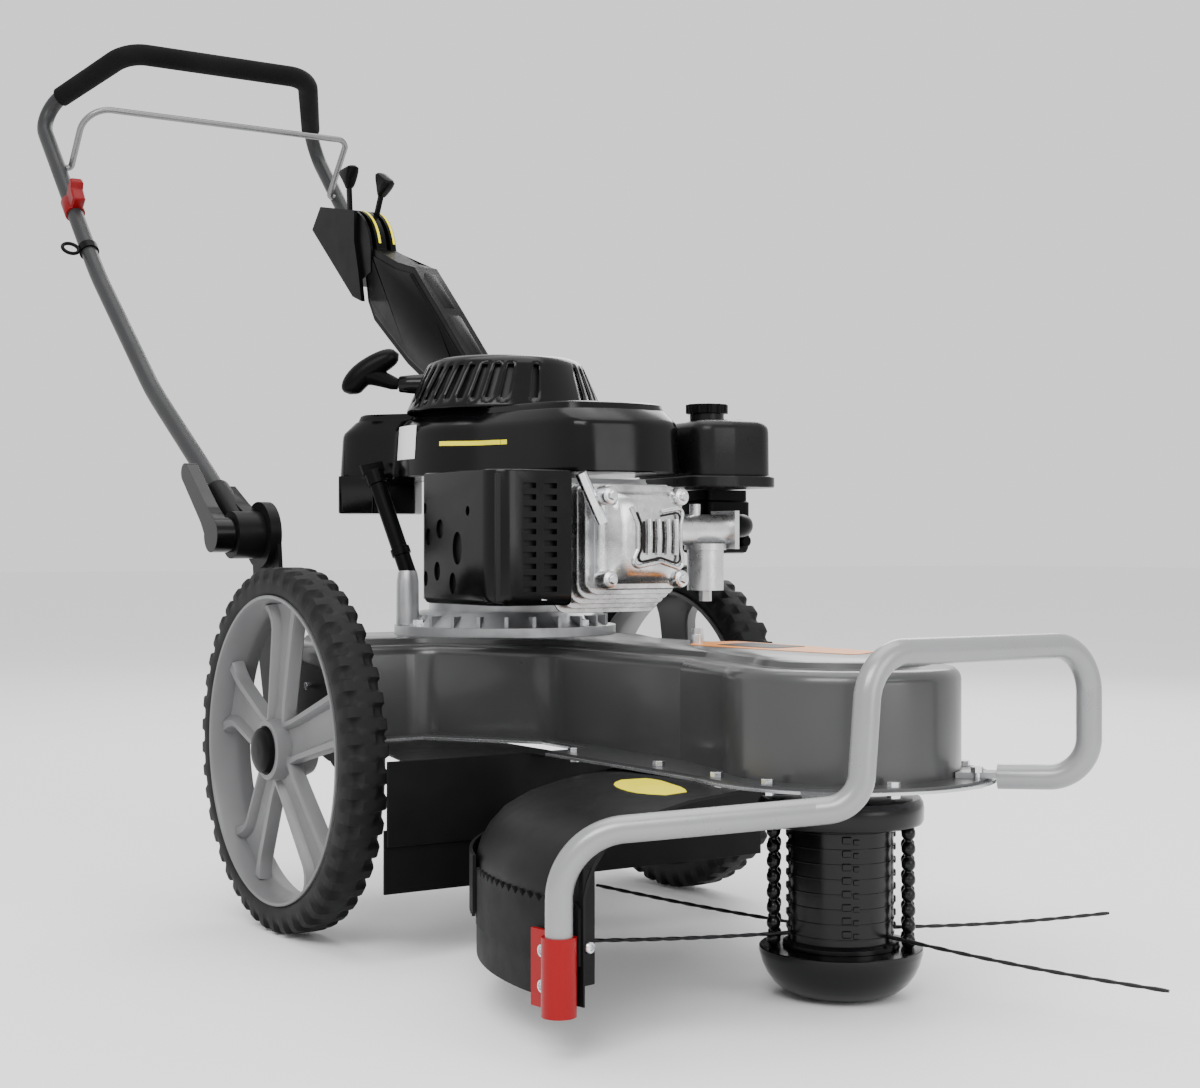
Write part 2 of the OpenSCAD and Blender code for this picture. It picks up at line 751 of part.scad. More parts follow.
module cover_outline(inset) {
  rounded(12) translate([-50 + inset, head_z - 54 + inset]) square([104 - 2 * inset, 108 - 2 * inset]);
}

module piston() {
  color("#b5b8ba") difference() {
    rod([-470, 0, head_z], [-425, 0, head_z], bore_r - RUN);
    rod([-471, 0, head_z], [-432, 0, head_z], bore_r - 6);
  }
}

module crankshaft() {
  z0 = 240;
  color("#8b8e91") translate([crank_x, 0, 0]) {
    translate([0, 0, z0 - 12]) cylinder(h = 112, r = spindle_r);
    translate([0, 0, plateau_z + 8]) cylinder(h = 192, r = 12);
    // counterweights and crank pin
    for (z = [372, 428]) translate([0, 0, z]) intersection() {
      cylinder(h = 16, r = 58);
      translate([-60, -34, 0]) cube([104, 68, 16]);
    }
    translate([26, 0, 380]) cylinder(h = 56, r = 13);
    translate([0, 0, plateau_z + 199]) cylinder(h = 46, r = spindle_r);
    translate([0, 0, 546]) cylinder(h = 9, d = 26, $fn = 6);
    translate([0, 0, z0 - 18]) cylinder(h = 6, d = 24, $fn = 6);
  }
}

module flywheel() {
  color("#77797c") translate([crank_x, 0, 503]) difference() {
    union() {
      cylinder(h = 18, r = flywheel_r);
      cylinder(h = 34, r = 26);
      for (a = [0:30:330]) rotate(a) translate([40, -2, 18]) cube([flywheel_r - 44, 4, 20]);
    }
    translate([0, 0, -1]) cylinder(h = 60, r = spindle_r);
    translate([0, 0, -1]) difference() {
      cylinder(h = 12, r = flywheel_r - 12);
      cylinder(h = 12, r = 30);
    }
  }
}

// Plan outline of the fan shroud
module shroud_outline(inset) {
  offset(delta = -inset) union() {
    translate([crank_x, 0]) circle(127);
    rounded(16) polygon([[-600, -116], [-520, -96], [-352, -58], [-336, 20], [-350, 84],
                         [-520, 112], [-600, 116]]);
    rounded(6) polygon([[-742, -138], [-712, -156], [-686, -124], [-640, -90], [-640, 0],
                        [-700, 30], [-738, -70]]);
  }
}

module blower_housing() {
  z0 = 480;
  z1 = 556;
  color("#1e1f21") {
    difference() {
      union() {
        translate([0, 0, z0]) linear_extrude(z1 - z0 - 10) shroud_outline(0);
        translate([0, 0, z1 - 10]) linear_extrude(6) shroud_outline(4);
        translate([0, 0, z1 - 4]) linear_extrude(4) shroud_outline(10);
      }
      translate([0, 0, z0 - 1]) linear_extrude(z1 - z0 - 12) shroud_outline(3);
      translate([0, 0, z1 - 14]) linear_extrude(11) shroud_outline(13);
      translate([crank_x, 0, z1 - 10]) cylinder(h = 20, r = 96);
    }
    // hanging box at the rear corner
    translate([0, 0, 440]) linear_extrude(44) difference() {
      rear_box(0);
      rear_box(3);
    }
  }
}

module rear_box(inset) {
  offset(delta = -inset) rounded(6)
    polygon([[-742, -138], [-712, -156], [-686, -124], [-684, -70], [-712, -44], [-738, -70]]);
}

module recoil_cover() {
  z0 = 556;
  color("#222326") difference() {
    translate([crank_x, 0, z0]) rotate_extrude()
      polygon([[0, 58], [0, 62], [80, 62], [90, 58], [112, 4], [114, 0],
               [98, 0], [98, 3], [107, 4], [86, 55], [78, 58]]);
    for (a = [0:11:350]) if (a < 205 || a > 265) translate([crank_x, 0, 0]) rotate(a)
      translate([88, -1.8, z0 + 12]) cube([30, 3.6, 36]);
    rod(pull_exit - 60 * pull_dir, pull_exit + 30 * pull_dir, 6);
  }
}

rope_stub = 190;                  // length of rope kept straight inside the cover

module starter_grip() {
  bar = unit([0.42, 0.64, 0.64]);      // direction of the T-bar
  centre = pull_exit + 44 * pull_dir + [0, 0, 12];
  color("#1d1e20") {
    rod(pull_exit - rope_stub * unit(pull_dir), pull_exit + 24 * unit(pull_dir), 2.5);
    rod(pull_exit + 14 * pull_dir, centre, 7);
    // T-bar with domed ends and a slim middle
    along(centre, bar) rotate_extrude() polygon(concat([[0, -37], [5, -36.4], [8.2, -33.5], [9.4, -29]],
      [[8.6, -16], [8.6, 16]], [[9.4, 29], [8.2, 33.5], [5, 36.4], [0, 37]]));
  }
}

module muffler() {
  color("#8a7f78") difference() {
    xz_plate(-158, -98) rounded(10) translate([-468, 352]) square([134, 112]);
    xz_plate(-156, -100) rounded(8) translate([-466, 354]) square([130, 108]);
    rod([-400, -170, 440], [-400, -150, 440], 8);
  }
  // pipe from the exhaust port
  color("#8a7f78") difference() {
    rod([-366, -98, head_z], [-366, -57, head_z], 12);
    rod([-366, -99, head_z], [-366, -56, head_z], 9);
  }
}

module muffler_guard() {
  color("#18191b") difference() {
    translate([0, 0, 342]) linear_extrude(137.5) rounded(9)
      polygon([[-484, -172], [-322, -174], [-318, -82], [-484, -82]]);
    translate([0, 0, 344.5]) linear_extrude(132.5) rounded(7)
      polygon([[-481.5, -169.5], [-324.5, -171.5], [-320.5, -60], [-481.5, -60]]);
    // slots of the front face
    for (y = [-152, -116]) for (i = [0:9]) translate([-340, y, 358 + 11.5 * i]) cube([40, 26, 5]);
    // round holes of the side face
    for (x = [-456, -426, -396]) for (z = [378, 408, 438]) rod([x, -190, z], [x, -160, z], 7);
  }
}

carb_at = [-366, 120, 420];       // middle of the carburetor's throat
carb_y = [57, 150];
air_y = [150, 216];

module carburetor() {
  throat_r = 10;
  bowl_z = carb_at[2] - 66;
  color("#b4b7ba") difference() {
    union() {
      rod([carb_at[0], carb_y[0], carb_at[2]], [carb_at[0], carb_y[1], carb_at[2]], 17);
      // mounting flanges
      for (y = [carb_y[0], carb_y[1] - 6]) translate([carb_at[0] - 22, y, carb_at[2] - 21]) cube([44, 6, 42]);
      translate([carb_at[0], carb_at[1], bowl_z]) cylinder(h = 50, r = 20);
      translate([carb_at[0], carb_at[1], bowl_z + 44]) cylinder(h = 7, r = 23);
      translate([carb_at[0], carb_at[1], bowl_z - 12]) cylinder(h = 13, d = 14, $fn = 6);
      // throttle shaft tower
      translate([carb_at[0], carb_at[1] - 14, carb_at[2] + 12]) cylinder(h = 16, r = 6);
    }
    rod([carb_at[0], carb_y[0] - 1, carb_at[2]], [carb_at[0], carb_y[1] + 1, carb_at[2]], throat_r);
  }
}

module air_box() {
  color("#1a1b1d") difference() {
    union() {
      xz_plate(air_y[0], air_y[1] - 9) rounded(10) translate([-456, 400]) square([112, 52]);
      xz_plate(air_y[1] - 9, air_y[1]) rounded(12) translate([-460, 397]) square([120, 58]);
    }
    xz_plate(air_y[0] + 3, air_y[1] - 3) rounded(8) translate([-453, 403]) square([106, 46]);
    rod([carb_at[0], air_y[0] - 1, carb_at[2]], [carb_at[0], air_y[0] + 4, carb_at[2]], 10);
  }
}

module tank_outline(inset) {
  offset(delta = -inset) rounded(24)
    polygon([[-500, 116], [-338, 90], [-326, 130], [-322, 176], [-350, 194], [-500, 194]]);
}

cap_at = [-390, 140];
cap_z = 549.3;                    // underside of the fuel cap's skirt

module fuel_tank() {
  color("#26282b") difference() {
    union() {
      translate([0, 0, 466.3]) linear_extrude(12) tank_outline(-6);
      translate([0, 0, 478]) linear_extrude(58) tank_outline(0);
      translate([0, 0, 536]) linear_extrude(6) tank_outline(5);
      translate([cap_at[0], cap_at[1], 540]) cylinder(h = 9, r = 19);
    }
    translate([0, 0, 470]) linear_extrude(64) tank_outline(4);
    translate([cap_at[0], cap_at[1], 525]) cylinder(h = 40, r = 15);
    translate([0, 0, 460]) linear_extrude(110) shroud_outline(-1);
  }
}

module fuel_cap() {
  color("#1a1b1d") translate([cap_at[0], cap_at[1], cap_z]) difference() {
    union() {
      cylinder(h = 10, r = 22);
      for (a = [0:30:330]) rotate(a) translate([21, 0, 0]) cylinder(h = 10, r = 2.5);
      translate([0, 0, -12]) cylinder(h = 13, r = 15 - RUN);
    }
    translate([0, 0, -13]) cylinder(h = 15, r = 12);
  }
}

module spark_plug() {
  color("#e7e4dc") rod([-365, -74, head_z + 20], [-365, -54, head_z + 20], 6.5);
  color("#9b9ea1") rod([-365, -54, head_z + 20], [-365, -36, head_z + 20], 7.2);
}

module filler_tube() {
  foot = dip_foot - 8 * dip_dir;
  color("#b4b7ba") difference() {
    union() {
      translate([dip_foot[0], dip_foot[1], plateau_z + 10]) cylinder(h = 62, r = 13);
      rod(foot, dip_foot + 108 * dip_dir, 9.5);
    }
    rod(dip_foot - 40 * dip_dir, dip_foot + 130 * dip_dir, 7);
    translate([crank_x, 0, plateau_z]) cylinder(h = 200, r = 98);
    translate([crank_x, 0, plateau_z]) cylinder(h = 26, r = 128);
  }
}

module dipstick() {
  color("#1a1b1d") {
    rod(dip_foot - 20 * dip_dir, dip_foot + 112 * dip_dir, 2.5);
    rod(dip_foot + 108.3 * dip_dir, dip_foot + 124 * dip_dir, 11);
    along(dip_foot + 122 * dip_dir, dip_dir) translate([-14, -2.5, 0]) cube([28, 5, 12]);
  }
}

// ---------- handle ----------

handle_xz = [[-748, 434], [-1012, 599], [-1225, 772], [-1490, 1042]];
grip_x = -1332;
grip_z = 1108;
grip_half = 139.5;
handle_pts = concat(
  [for (p = handle_xz) on_side(-1, tube_half, p)],
  [on_side(-1, grip_half, [grip_x, grip_z]), on_side(1, grip_half, [grip_x, grip_z])],
  [for (i = [3:-1:0]) on_side(1, tube_half, handle_xz[i])]);
handle_bends = [400, 400, 38, 45, 45, 38, 400, 400];

module handle_tube() {
  color("#4e5053") difference() {
    bent_tube(handle_pts, handle_bends, tube_r, tube_r - 2);
    // holes for the bail's pivots
    for (side = [-1, 1]) side_pin(side, tube_half - 14, tube_half - 4, bail_pivot, 4 + RUN);
  }
}

module foam_grip() {
  lower = unit(handle_pts[4] - handle_pts[3]);
  start = handle_pts[3] + 50 * lower;
  end = handle_pts[6] + 50 * [lower[0], -lower[1], lower[2]];
  color("#1b1b1c") bent_tube([start, handle_pts[4], handle_pts[5], end], [45, 45], grip_d / 2, tube_r);
}

module handle_sockets() {
  tube_dir = unit(handle_xz[1] - handle_xz[0]);
  foot = handle_xz[0] - 30 * tube_dir;
  color("#222325") for (side = [-1, 1]) difference() {
    union() {
      side_pin(side, hub_w0, hub_w1, pivot, 27);
      rod(on_side(side, tube_half, foot), on_side(side, tube_half, foot + 92 * tube_dir), 15.5);
      side_plate(side, hub_w0, tube_half) translate(pivot) rotate(atan2(tube_dir[1], tube_dir[0]))
        polygon([[0, -24], [40, -18], [86, -14], [86, 14], [40, 20], [0, 24]]);
    }
    side_pin(side, hub_w0 - 1, hub_w1 + 1, pivot, 6 + RUN);
    rod(on_side(side, tube_half, handle_xz[0]), on_side(side, tube_half, foot + 120 * tube_dir), tube_r);
  }
}

module clamp_lever(side) {
  blade_dir = unit([-100, 86]);
  color("#17181a") {
    side_pin(side, clamp_w0, clamp_w0 + 24, pivot, 20);
    side_plate(side, clamp_w0 + 8, clamp_w0 + 22) translate(pivot) rotate(atan2(blade_dir[1], blade_dir[0]))
      union() {
        polygon([[0, -19], [36, -14], [112, -11], [112, 11], [36, 12], [0, 19]]);
        translate([112, 0]) circle(11);
      }
    side_pin(side, ear_in - 8, clamp_w0, pivot, 6);
    clamp_nut(side);
  }
}

// Nut on the inner end of the clamp bolt
module clamp_nut(side) {
  along(on_side(side, ear_in - GAP, pivot), [0, -side, 0]) cylinder(h = 9, d = 20, $fn = 6);
}

module clamp_lever_right() {
  clamp_lever(-1);
}

module clamp_lever_left() {
  clamp_lever(1);
}

console_y = 118;                  // near side of the lever console
console_far = mid_y + tube_half - tube_r;

module console() {
  color("#1a1b1d") difference() {
    union() {
      xz_plate(112, console_y) polygon([[-1332, 917], [-1217, 895], [-1217, 850], [-1203, 803], [-1193, 759],
                                        [-1222, 769], [-1361, 886]]);
      xz_plate(console_y, console_far) union() {
        polygon([[-1332, 900], [-1250, 900], [-1175, 835], [-1175, 800], [-1225, 785], [-1330, 870]]);
        translate(lever_pivot) intersection() {
          circle(75);
          translate([0, -20]) square(100);
        }
      }
    }
    // slots that the levers swing in
    for (y = lever_y) xz_plate(y - GAP, y + lever_t + GAP) translate(lever_pivot) {
      circle(lever_hub + GAP);
      intersection() {
        circle(90);
        polygon([[0, -12], [160, 10], [160, 160], [-50, 160], [-12, 0]]);
      }
    }
    rod([lever_pivot[0], lever_y[0] - 3, lever_pivot[1]],
        [lever_pivot[0], lever_y[1] + lever_t + 3, lever_pivot[1]], 5 + RUN);
  }
}

cable_outline = [[-1192, 759], [-1202, 803], [-1174.5, 834], [-1100, 805], [-1050, 792], [-975, 724],
                 [-885, 640], [-885, 585], [-960, 600], [-1068, 658], [-1135, 704], [-1172, 730]];

// Trough that hides the control cables, open towards the handle tube
module cable_cover() {
  color("#1a1b1d") difference() {
    xz_plate(122, 160) polygon(cable_outline);
    xz_plate(125, 161) offset(delta = -3) polygon(cable_outline);
  }
}

// Point on the handle's upper straight run at a given x
function on_upper(x) = let (a = handle_xz[2], b = handle_xz[3]) a + (b - a) * (x - a[0]) / (b[0] - a[0]);
upper_dir = [handle_xz[3][0] - handle_xz[2][0], 0, handle_xz[3][1] - handle_xz[2][1]];

module bail_catch() {
  color("#b3202b") along(on_side(-1, tube_half, on_upper(-1322)), upper_dir) difference() {
    union() {
      translate([0, 0, -16]) cylinder(h = 32, r = tube_r + 3);
      translate([-11, 9, -16]) cube([22, 41, 32]);
    }
    translate([0, 0, -20]) cylinder(h = 40, r = tube_r);
  }
}

module rope_guide() {
  at = on_side(-1, tube_half, on_upper(-1262));
  color("#1c1d1f") {
    along(at, upper_dir) difference() {
      translate([0, 0, -6]) cylinder(h = 12, r = tube_r + 2.5);
      translate([0, 0, -7]) cylinder(h = 14, r = tube_r);
    }
    // wire eye on the outer side
    translate([at[0], at[1] - tube_r - 14, at[2]]) rotate([0, 45, 0])
      rotate_extrude() translate([11, 0]) circle(2.5);
  }
}

bail_half = 203;
bail_top = [-1326, 1021];

module bail_rod() {
  pts = [on_side(-1, tube_half - 5, bail_pivot), on_side(-1, bail_half, bail_pivot),
         on_side(-1, bail_half, bail_top), on_side(1, bail_half, bail_top),
         on_side(1, bail_half, bail_pivot), on_side(1, tube_half - 5, bail_pivot)];
  color("#a9acaf") bent_rod(pts, [6, 38, 38, 6], 4, 10);
}

// A lever that swings in the console, drawn at an angle above +X
module hand_lever(y0, angle, length) {
  mid = y0 + lever_t / 2;
  translate([lever_pivot[0], 0, lever_pivot[1]]) rotate([0, -angle, 0]) {
    rod([0, y0, 0], [0, y0 + lever_t, 0], lever_hub);
    translate([0, y0, -5]) cube([length - 18, lever_t, 10]);
    // pivot pin
    rod([0, y0 - 1.5, 0], [0, y0 + lever_t + 1.5, 0], 5);
    translate([length - 22, mid - 9, -15]) hull() {
      translate([0, 0, 6]) cube([8, 18, 10]);
      translate([24, -1, -8]) cube([5, 20, 46]);
    }
  }
}

module throttle_lever() {
  color("#151617") hand_lever(lever_y[0], 95, 135);
}

module choke_lever() {
  color("#151617") hand_lever(lever_y[1], 62, 128);
}

deck_shell();
cover_plate();
frame_bolts();
spindle_housing();
spindle_bearings();
wheel_axle();
bracket_right();
bracket_left();
skirt_shield();
rubber_flaps();
rear_panel();
side_bar();
front_bar();
foot_bracket();
crankcase();
cylinder_head();
valve_cover();
blower_housing();
recoil_cover();
muffler();
muffler_guard();
carburetor();
air_box();
fuel_tank();
spark_plug();
filler_tube();
drive_belt();
piston();
crankshaft();
flywheel();
engine_pulley();
spindle();
spindle_pulley();
line_spool();
line_posts();
skid_cup();
trimmer_lines();
tyre_right();
rim_right();
hub_cap_right();
tyre_left();
rim_left();
hub_cap_left();
handle_tube();
foam_grip();
handle_sockets();
console();
cable_cover();
bail_catch();
rope_guide();
bail_rod();
throttle_lever();
choke_lever();
clamp_lever_right();
clamp_lever_left();
starter_grip();
fuel_cap();
dipstick();
idler_arm();
idler_pulley();
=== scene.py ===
"""Looks of a walk-behind wheeled string trimmer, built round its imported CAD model.
Shapes are worked out in millimetres in the row frame and turned into metres when an object is made."""

import json
from math import asin, atan2, ceil, cos, degrees, pi, radians, sin, sqrt, tan

import bmesh
import bpy
from mathutils import Matrix, Vector


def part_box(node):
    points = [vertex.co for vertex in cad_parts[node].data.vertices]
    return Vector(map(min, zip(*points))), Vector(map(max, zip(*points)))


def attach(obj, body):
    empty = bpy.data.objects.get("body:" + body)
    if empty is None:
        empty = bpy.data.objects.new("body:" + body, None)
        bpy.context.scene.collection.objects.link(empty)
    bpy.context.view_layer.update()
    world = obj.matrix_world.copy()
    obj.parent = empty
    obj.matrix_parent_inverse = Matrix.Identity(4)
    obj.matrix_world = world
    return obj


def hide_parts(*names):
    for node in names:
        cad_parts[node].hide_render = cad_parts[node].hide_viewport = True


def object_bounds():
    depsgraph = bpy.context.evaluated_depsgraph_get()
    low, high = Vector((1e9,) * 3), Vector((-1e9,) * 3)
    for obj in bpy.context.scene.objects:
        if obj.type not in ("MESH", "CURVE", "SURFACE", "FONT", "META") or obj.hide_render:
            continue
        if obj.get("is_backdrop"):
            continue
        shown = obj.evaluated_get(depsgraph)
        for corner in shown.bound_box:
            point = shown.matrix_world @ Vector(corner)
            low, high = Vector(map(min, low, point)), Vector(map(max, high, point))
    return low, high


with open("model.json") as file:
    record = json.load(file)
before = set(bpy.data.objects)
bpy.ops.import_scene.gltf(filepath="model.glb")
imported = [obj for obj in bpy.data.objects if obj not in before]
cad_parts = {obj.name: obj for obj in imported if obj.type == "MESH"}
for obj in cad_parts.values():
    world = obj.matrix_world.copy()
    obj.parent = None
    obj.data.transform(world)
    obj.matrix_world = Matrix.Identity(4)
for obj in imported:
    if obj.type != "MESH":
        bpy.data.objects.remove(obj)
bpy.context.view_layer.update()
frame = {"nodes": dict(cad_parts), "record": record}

MM = 0.001
SMOOTH_ANGLE = radians(32)
WELD = 2e-6  # metres
FLAT_ANGLE = radians(0.4)


def corners(node):
    """Lowest and highest corner of a CAD node, in millimetres."""
    low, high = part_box(node)
    return low / MM, high / MM


# ---------- materials ----------

def noise_node(tree, coords, scale, detail=3.0):
    node = tree.nodes.new("ShaderNodeTexNoise")
    node.inputs["Scale"].default_value = scale
    node.inputs["Detail"].default_value = detail
    node.inputs["Roughness"].default_value = 0.55
    tree.links.new(coords.outputs["Object"], node.inputs["Vector"])
    return node


def finish(name, colour, rough, metal=0.0, coat=0.0, vary=0.18, patch=9.0, grain=900.0, bump=0.06,
           cells=False, rough_spread=0.06, specular=0.5):
    """A painted, moulded or cast surface: slow patches in colour and gloss, and fine grain as bump."""
    mat = bpy.data.materials.new(name)
    mat.use_nodes = True
    tree = mat.node_tree
    shader = tree.nodes["Principled BSDF"]
    for socket, value in (("Metallic", metal), ("Coat Weight", coat), ("Specular IOR Level", specular),
                          ("Coat Roughness", 0.12)):
        shader.inputs[socket].default_value = value
    coords = tree.nodes.new("ShaderNodeTexCoord")

    patches = noise_node(tree, coords, patch)
    ramp = tree.nodes.new("ShaderNodeValToRGB")
    for stop, place_at, share in zip(ramp.color_ramp.elements, NOISE_RANGE, (1 - vary, 1 + vary)):
        stop.position = place_at
        stop.color = (*[min(1, c * share) for c in colour], 1)
    tree.links.new(patches.outputs["Fac"], ramp.inputs["Fac"])
    tree.links.new(ramp.outputs["Color"], shader.inputs["Base Color"])

    gloss = noise_node(tree, coords, patch * 3.1)
    spread = tree.nodes.new("ShaderNodeMapRange")
    for socket, value in zip(("From Min", "From Max", "To Min", "To Max"),
                             (*NOISE_RANGE, max(0.02, rough - rough_spread), rough + rough_spread)):
        spread.inputs[socket].default_value = value
    tree.links.new(gloss.outputs["Fac"], spread.inputs["Value"])
    tree.links.new(spread.outputs["Result"], shader.inputs["Roughness"])

    if cells:
        fine = tree.nodes.new("ShaderNodeTexVoronoi")
        fine.inputs["Scale"].default_value = grain
        tree.links.new(coords.outputs["Object"], fine.inputs["Vector"])
        height = fine.outputs["Distance"]
    else:
        height = noise_node(tree, coords, grain, 2.0).outputs["Fac"]
    bumps = tree.nodes.new("ShaderNodeBump")
    bumps.inputs["Strength"].default_value = bump
    bumps.inputs["Distance"].default_value = 0.0006
    tree.links.new(height, bumps.inputs["Height"])
    tree.links.new(bumps.outputs["Normal"], shader.inputs["Normal"])
    return mat


NOISE_RANGE = (0.3, 0.7)  # where the noise is spread out from one end to the other
MATS = {slot: finish(name, colour, rough, **more) for slot, name, colour, rough, more in (
    ("deck", "deck_paint", (0.055, 0.0555, 0.0565), 0.33,
     dict(metal=0.4, coat=0.25, vary=0.06, patch=5, grain=1500, bump=0.05)),
    ("plate", "plate_steel", (0.6, 0.61, 0.62), 0.26, dict(metal=0.9, vary=0.08, grain=700)),
    ("zinc", "zinc_plate", (0.72, 0.73, 0.75), 0.24, dict(metal=1.0, vary=0.1, patch=60, grain=2500)),
    ("casting", "cast_aluminium", (0.44, 0.445, 0.455), 0.4,
     dict(metal=0.9, vary=0.16, patch=22, grain=1300, bump=0.3, rough_spread=0.1)),
    ("cover_casting", "bright_casting", (0.56, 0.565, 0.57), 0.22,
     dict(metal=0.95, vary=0.34, patch=26, grain=700, bump=0.3, rough_spread=0.12)),
    ("carb", "die_casting", (0.6, 0.605, 0.61), 0.3,
     dict(metal=0.92, vary=0.12, patch=40, grain=1500, bump=0.2)),
    ("steel", "machined_steel", (0.45, 0.45, 0.46), 0.3, dict(metal=1.0, grain=1600)),
    ("bracket", "bracket_paint", (0.005, 0.005, 0.0056), 0.34, dict(grain=1100, bump=0.08, specular=0.1)),
    ("shield", "shield_plastic", (0.005, 0.005, 0.0054), 0.44,
     dict(vary=0.16, grain=1400, bump=0.16, specular=0.14)),
    ("rubber", "flap_rubber", (0.0045, 0.0045, 0.005), 0.55,
     dict(vary=0.25, grain=1000, bump=0.2, specular=0.12)),
    ("bar", "bar_paint", (0.26, 0.263, 0.268), 0.3, dict(metal=0.35, coat=0.2, vary=0.04, grain=1800)),
    ("foot", "foot_paint", (0.24, 0.0008, 0.0034), 0.36,
     dict(vary=0.05, grain=1200, bump=0.05, specular=0.2)),
    ("gloss_black", "gloss_black_plastic", (0.002, 0.002, 0.0024), 0.18,
     dict(vary=0.2, grain=1500, bump=0.03, specular=0.2)),
    ("matt_black", "satin_black_plastic", (0.0025, 0.0025, 0.0029), 0.33,
     dict(vary=0.22, grain=1500, bump=0.08, specular=0.07)),
    # heat_metal also colours the thin dark lines painted as shade in the valve cover's groove and flutes
    ("heat_metal", "heated_steel", (0.02, 0.018, 0.017), 0.6,
     dict(metal=0.4, vary=0.3, patch=25, specular=0.2)),
    ("tank", "tank_plastic", (0.0045, 0.0045, 0.005), 0.3,
     dict(vary=0.15, grain=1300, bump=0.1, specular=0.2)),
    ("ceramic", "glazed_ceramic", (0.82, 0.8, 0.74), 0.15, dict(vary=0.04)),
    ("head_plastic", "head_nylon", (0.004, 0.004, 0.0046), 0.22,
     dict(vary=0.2, grain=1200, bump=0.08, specular=0.26)),
    ("cup_plastic", "cup_nylon", (0.0025, 0.0025, 0.003), 0.15,
     dict(vary=0.2, grain=1200, bump=0.03, specular=0.3)),
    ("line", "line_nylon", (0.004, 0.004, 0.0045), 0.4, dict(grain=1500, specular=0.3)),
    ("tyre", "tyre_rubber", (0.009, 0.009, 0.0095), 0.6,
     dict(vary=0.22, patch=14, grain=1300, bump=0.25, specular=0.16)),
    ("rim", "rim_plastic", (0.15, 0.151, 0.154), 0.42,
     dict(metal=0.1, vary=0.05, patch=8, grain=1700, bump=0.16, specular=0.4)),
    ("handle_paint", "handle_paint", (0.024, 0.0245, 0.0255), 0.38,
     dict(vary=0.06, grain=60, bump=0.1, specular=0.2)),
    ("foam", "grip_foam", (0.004, 0.004, 0.0043), 0.8,
     dict(vary=0.25, grain=700, bump=0.5, cells=True, specular=0.1)),
    ("catch", "catch_plastic", (0.16, 0.0006, 0.0024), 0.4, dict(vary=0.1, grain=1200, specular=0.2)),
    ("wire", "bare_wire", (0.2, 0.2, 0.205), 0.32, dict(metal=0.8, vary=0.08, grain=60, bump=0.1)),
    ("yellow", "yellow_print", (0.9, 0.78, 0.0), 0.4, dict(vary=0.04, grain=600, bump=0.02)),
    ("orange", "orange_print", (0.74, 0.23, 0.003), 0.36, dict(vary=0.05, grain=600, bump=0.02)),
    ("white", "white_print", (0.8, 0.8, 0.8), 0.4, dict(vary=0.02, grain=600, bump=0.02)),
    # dark_print also colours the dark plates put as painted shade in the recoil dome, between the head fins and
    # inside the muffler guard
    ("dark_print", "dark_print", (0.006, 0.006, 0.0065), 0.45,
     dict(vary=0.1, grain=600, bump=0.02, specular=0.25)),
)}
SLOT = {s["node"]: s["material_slot"] for s in frame["record"]["subparts"]}
BODY = {n: b for b, nodes in frame["record"]["behaviour"]["bodies"].items() for n in nodes}
for cad_name, cad_object in frame["nodes"].items():
    cad_object.data.materials.clear()
    cad_object.data.materials.append(MATS[SLOT[cad_name]])



# ---------- mesh helpers ----------

def smooth(mesh):
    for face in mesh.polygons:
        face.use_smooth = True
    mesh.set_sharp_from_angle(angle=SMOOTH_ANGLE)


def put(name, data):
    """An object made from its data and linked to the scene."""
    obj = bpy.data.objects.new(name, data)
    bpy.context.scene.collection.objects.link(obj)
    return obj


def place(mesh, name, slot, body="chassis", stands_for=()):
    """A piece from a mesh in metres: named, smooth where it is round, and riding on its body."""
    obj = put(name, mesh)
    mesh.materials.append(MATS[slot])
    smooth(mesh)
    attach(obj, body)
    if stands_for:
        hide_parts(*stands_for)
    return obj


def from_lists(name, points, faces, slot, body="chassis", stands_for=(), bevel=0.0):
    mesh = bpy.data.meshes.new(name)
    mesh.from_pydata([Vector(p) * MM for p in points], [], faces)
    bm = bmesh.new()
    bm.from_mesh(mesh)
    bmesh.ops.recalc_face_normals(bm, faces=bm.faces)
    bm.to_mesh(mesh)
    bm.free()
    obj = place(mesh, name, slot, body, stands_for)
    if bevel:
        add_bevel(obj, bevel)
    return obj


def add_bevel(obj, width, angle=34):
    bevel = obj.modifiers.new("bevel", "BEVEL")
    bevel.width = width * MM
    bevel.segments = 2
    bevel.limit_method = "ANGLE"
    bevel.angle_limit = radians(angle)
    bevel.harden_normals = True


def merged(mesh, keep=None):
    """A bmesh with flat faces merged, of all faces or of those whose middle passes keep(point in millimetres)."""
    bm = bmesh.new()
    bm.from_mesh(mesh)
    if keep:
        gone = [f for f in bm.faces if not keep(f.calc_center_median() / MM)]
        bmesh.ops.delete(bm, geom=gone, context="FACES")
    bmesh.ops.remove_doubles(bm, verts=bm.verts, dist=WELD)
    bmesh.ops.dissolve_limit(bm, angle_limit=FLAT_ANGLE, verts=bm.verts, edges=bm.edges)
    return bm


def from_node(node, name, bevel=0.0, keep=None):
    """A copy of a CAD node, or of some of its faces, with rounded edges, standing for the node."""
    mesh = frame["nodes"][node].data.copy()
    mesh.materials.clear()
    bm = merged(mesh, keep)
    bm.to_mesh(mesh)
    bm.free()
    if not keep:  # a whole node is shaded afresh
        mesh.attributes.remove(mesh.attributes["custom_normal"])
    obj = place(mesh, name, SLOT[node], BODY[node], (node,))
    if bevel:
        add_bevel(obj, bevel)


def circle(r, a, z=0.0):
    """A point on a circle about the upright axis."""
    return Vector((r * cos(a), r * sin(a), z))


def stacked(loops, base=0):
    """Points of all loops, and the rows of their numbers counted from base."""
    size = len(loops[0])
    rows = [list(range(base + i * size, base + (i + 1) * size)) for i in range(len(loops))]
    return [p for loop in loops for p in loop], rows


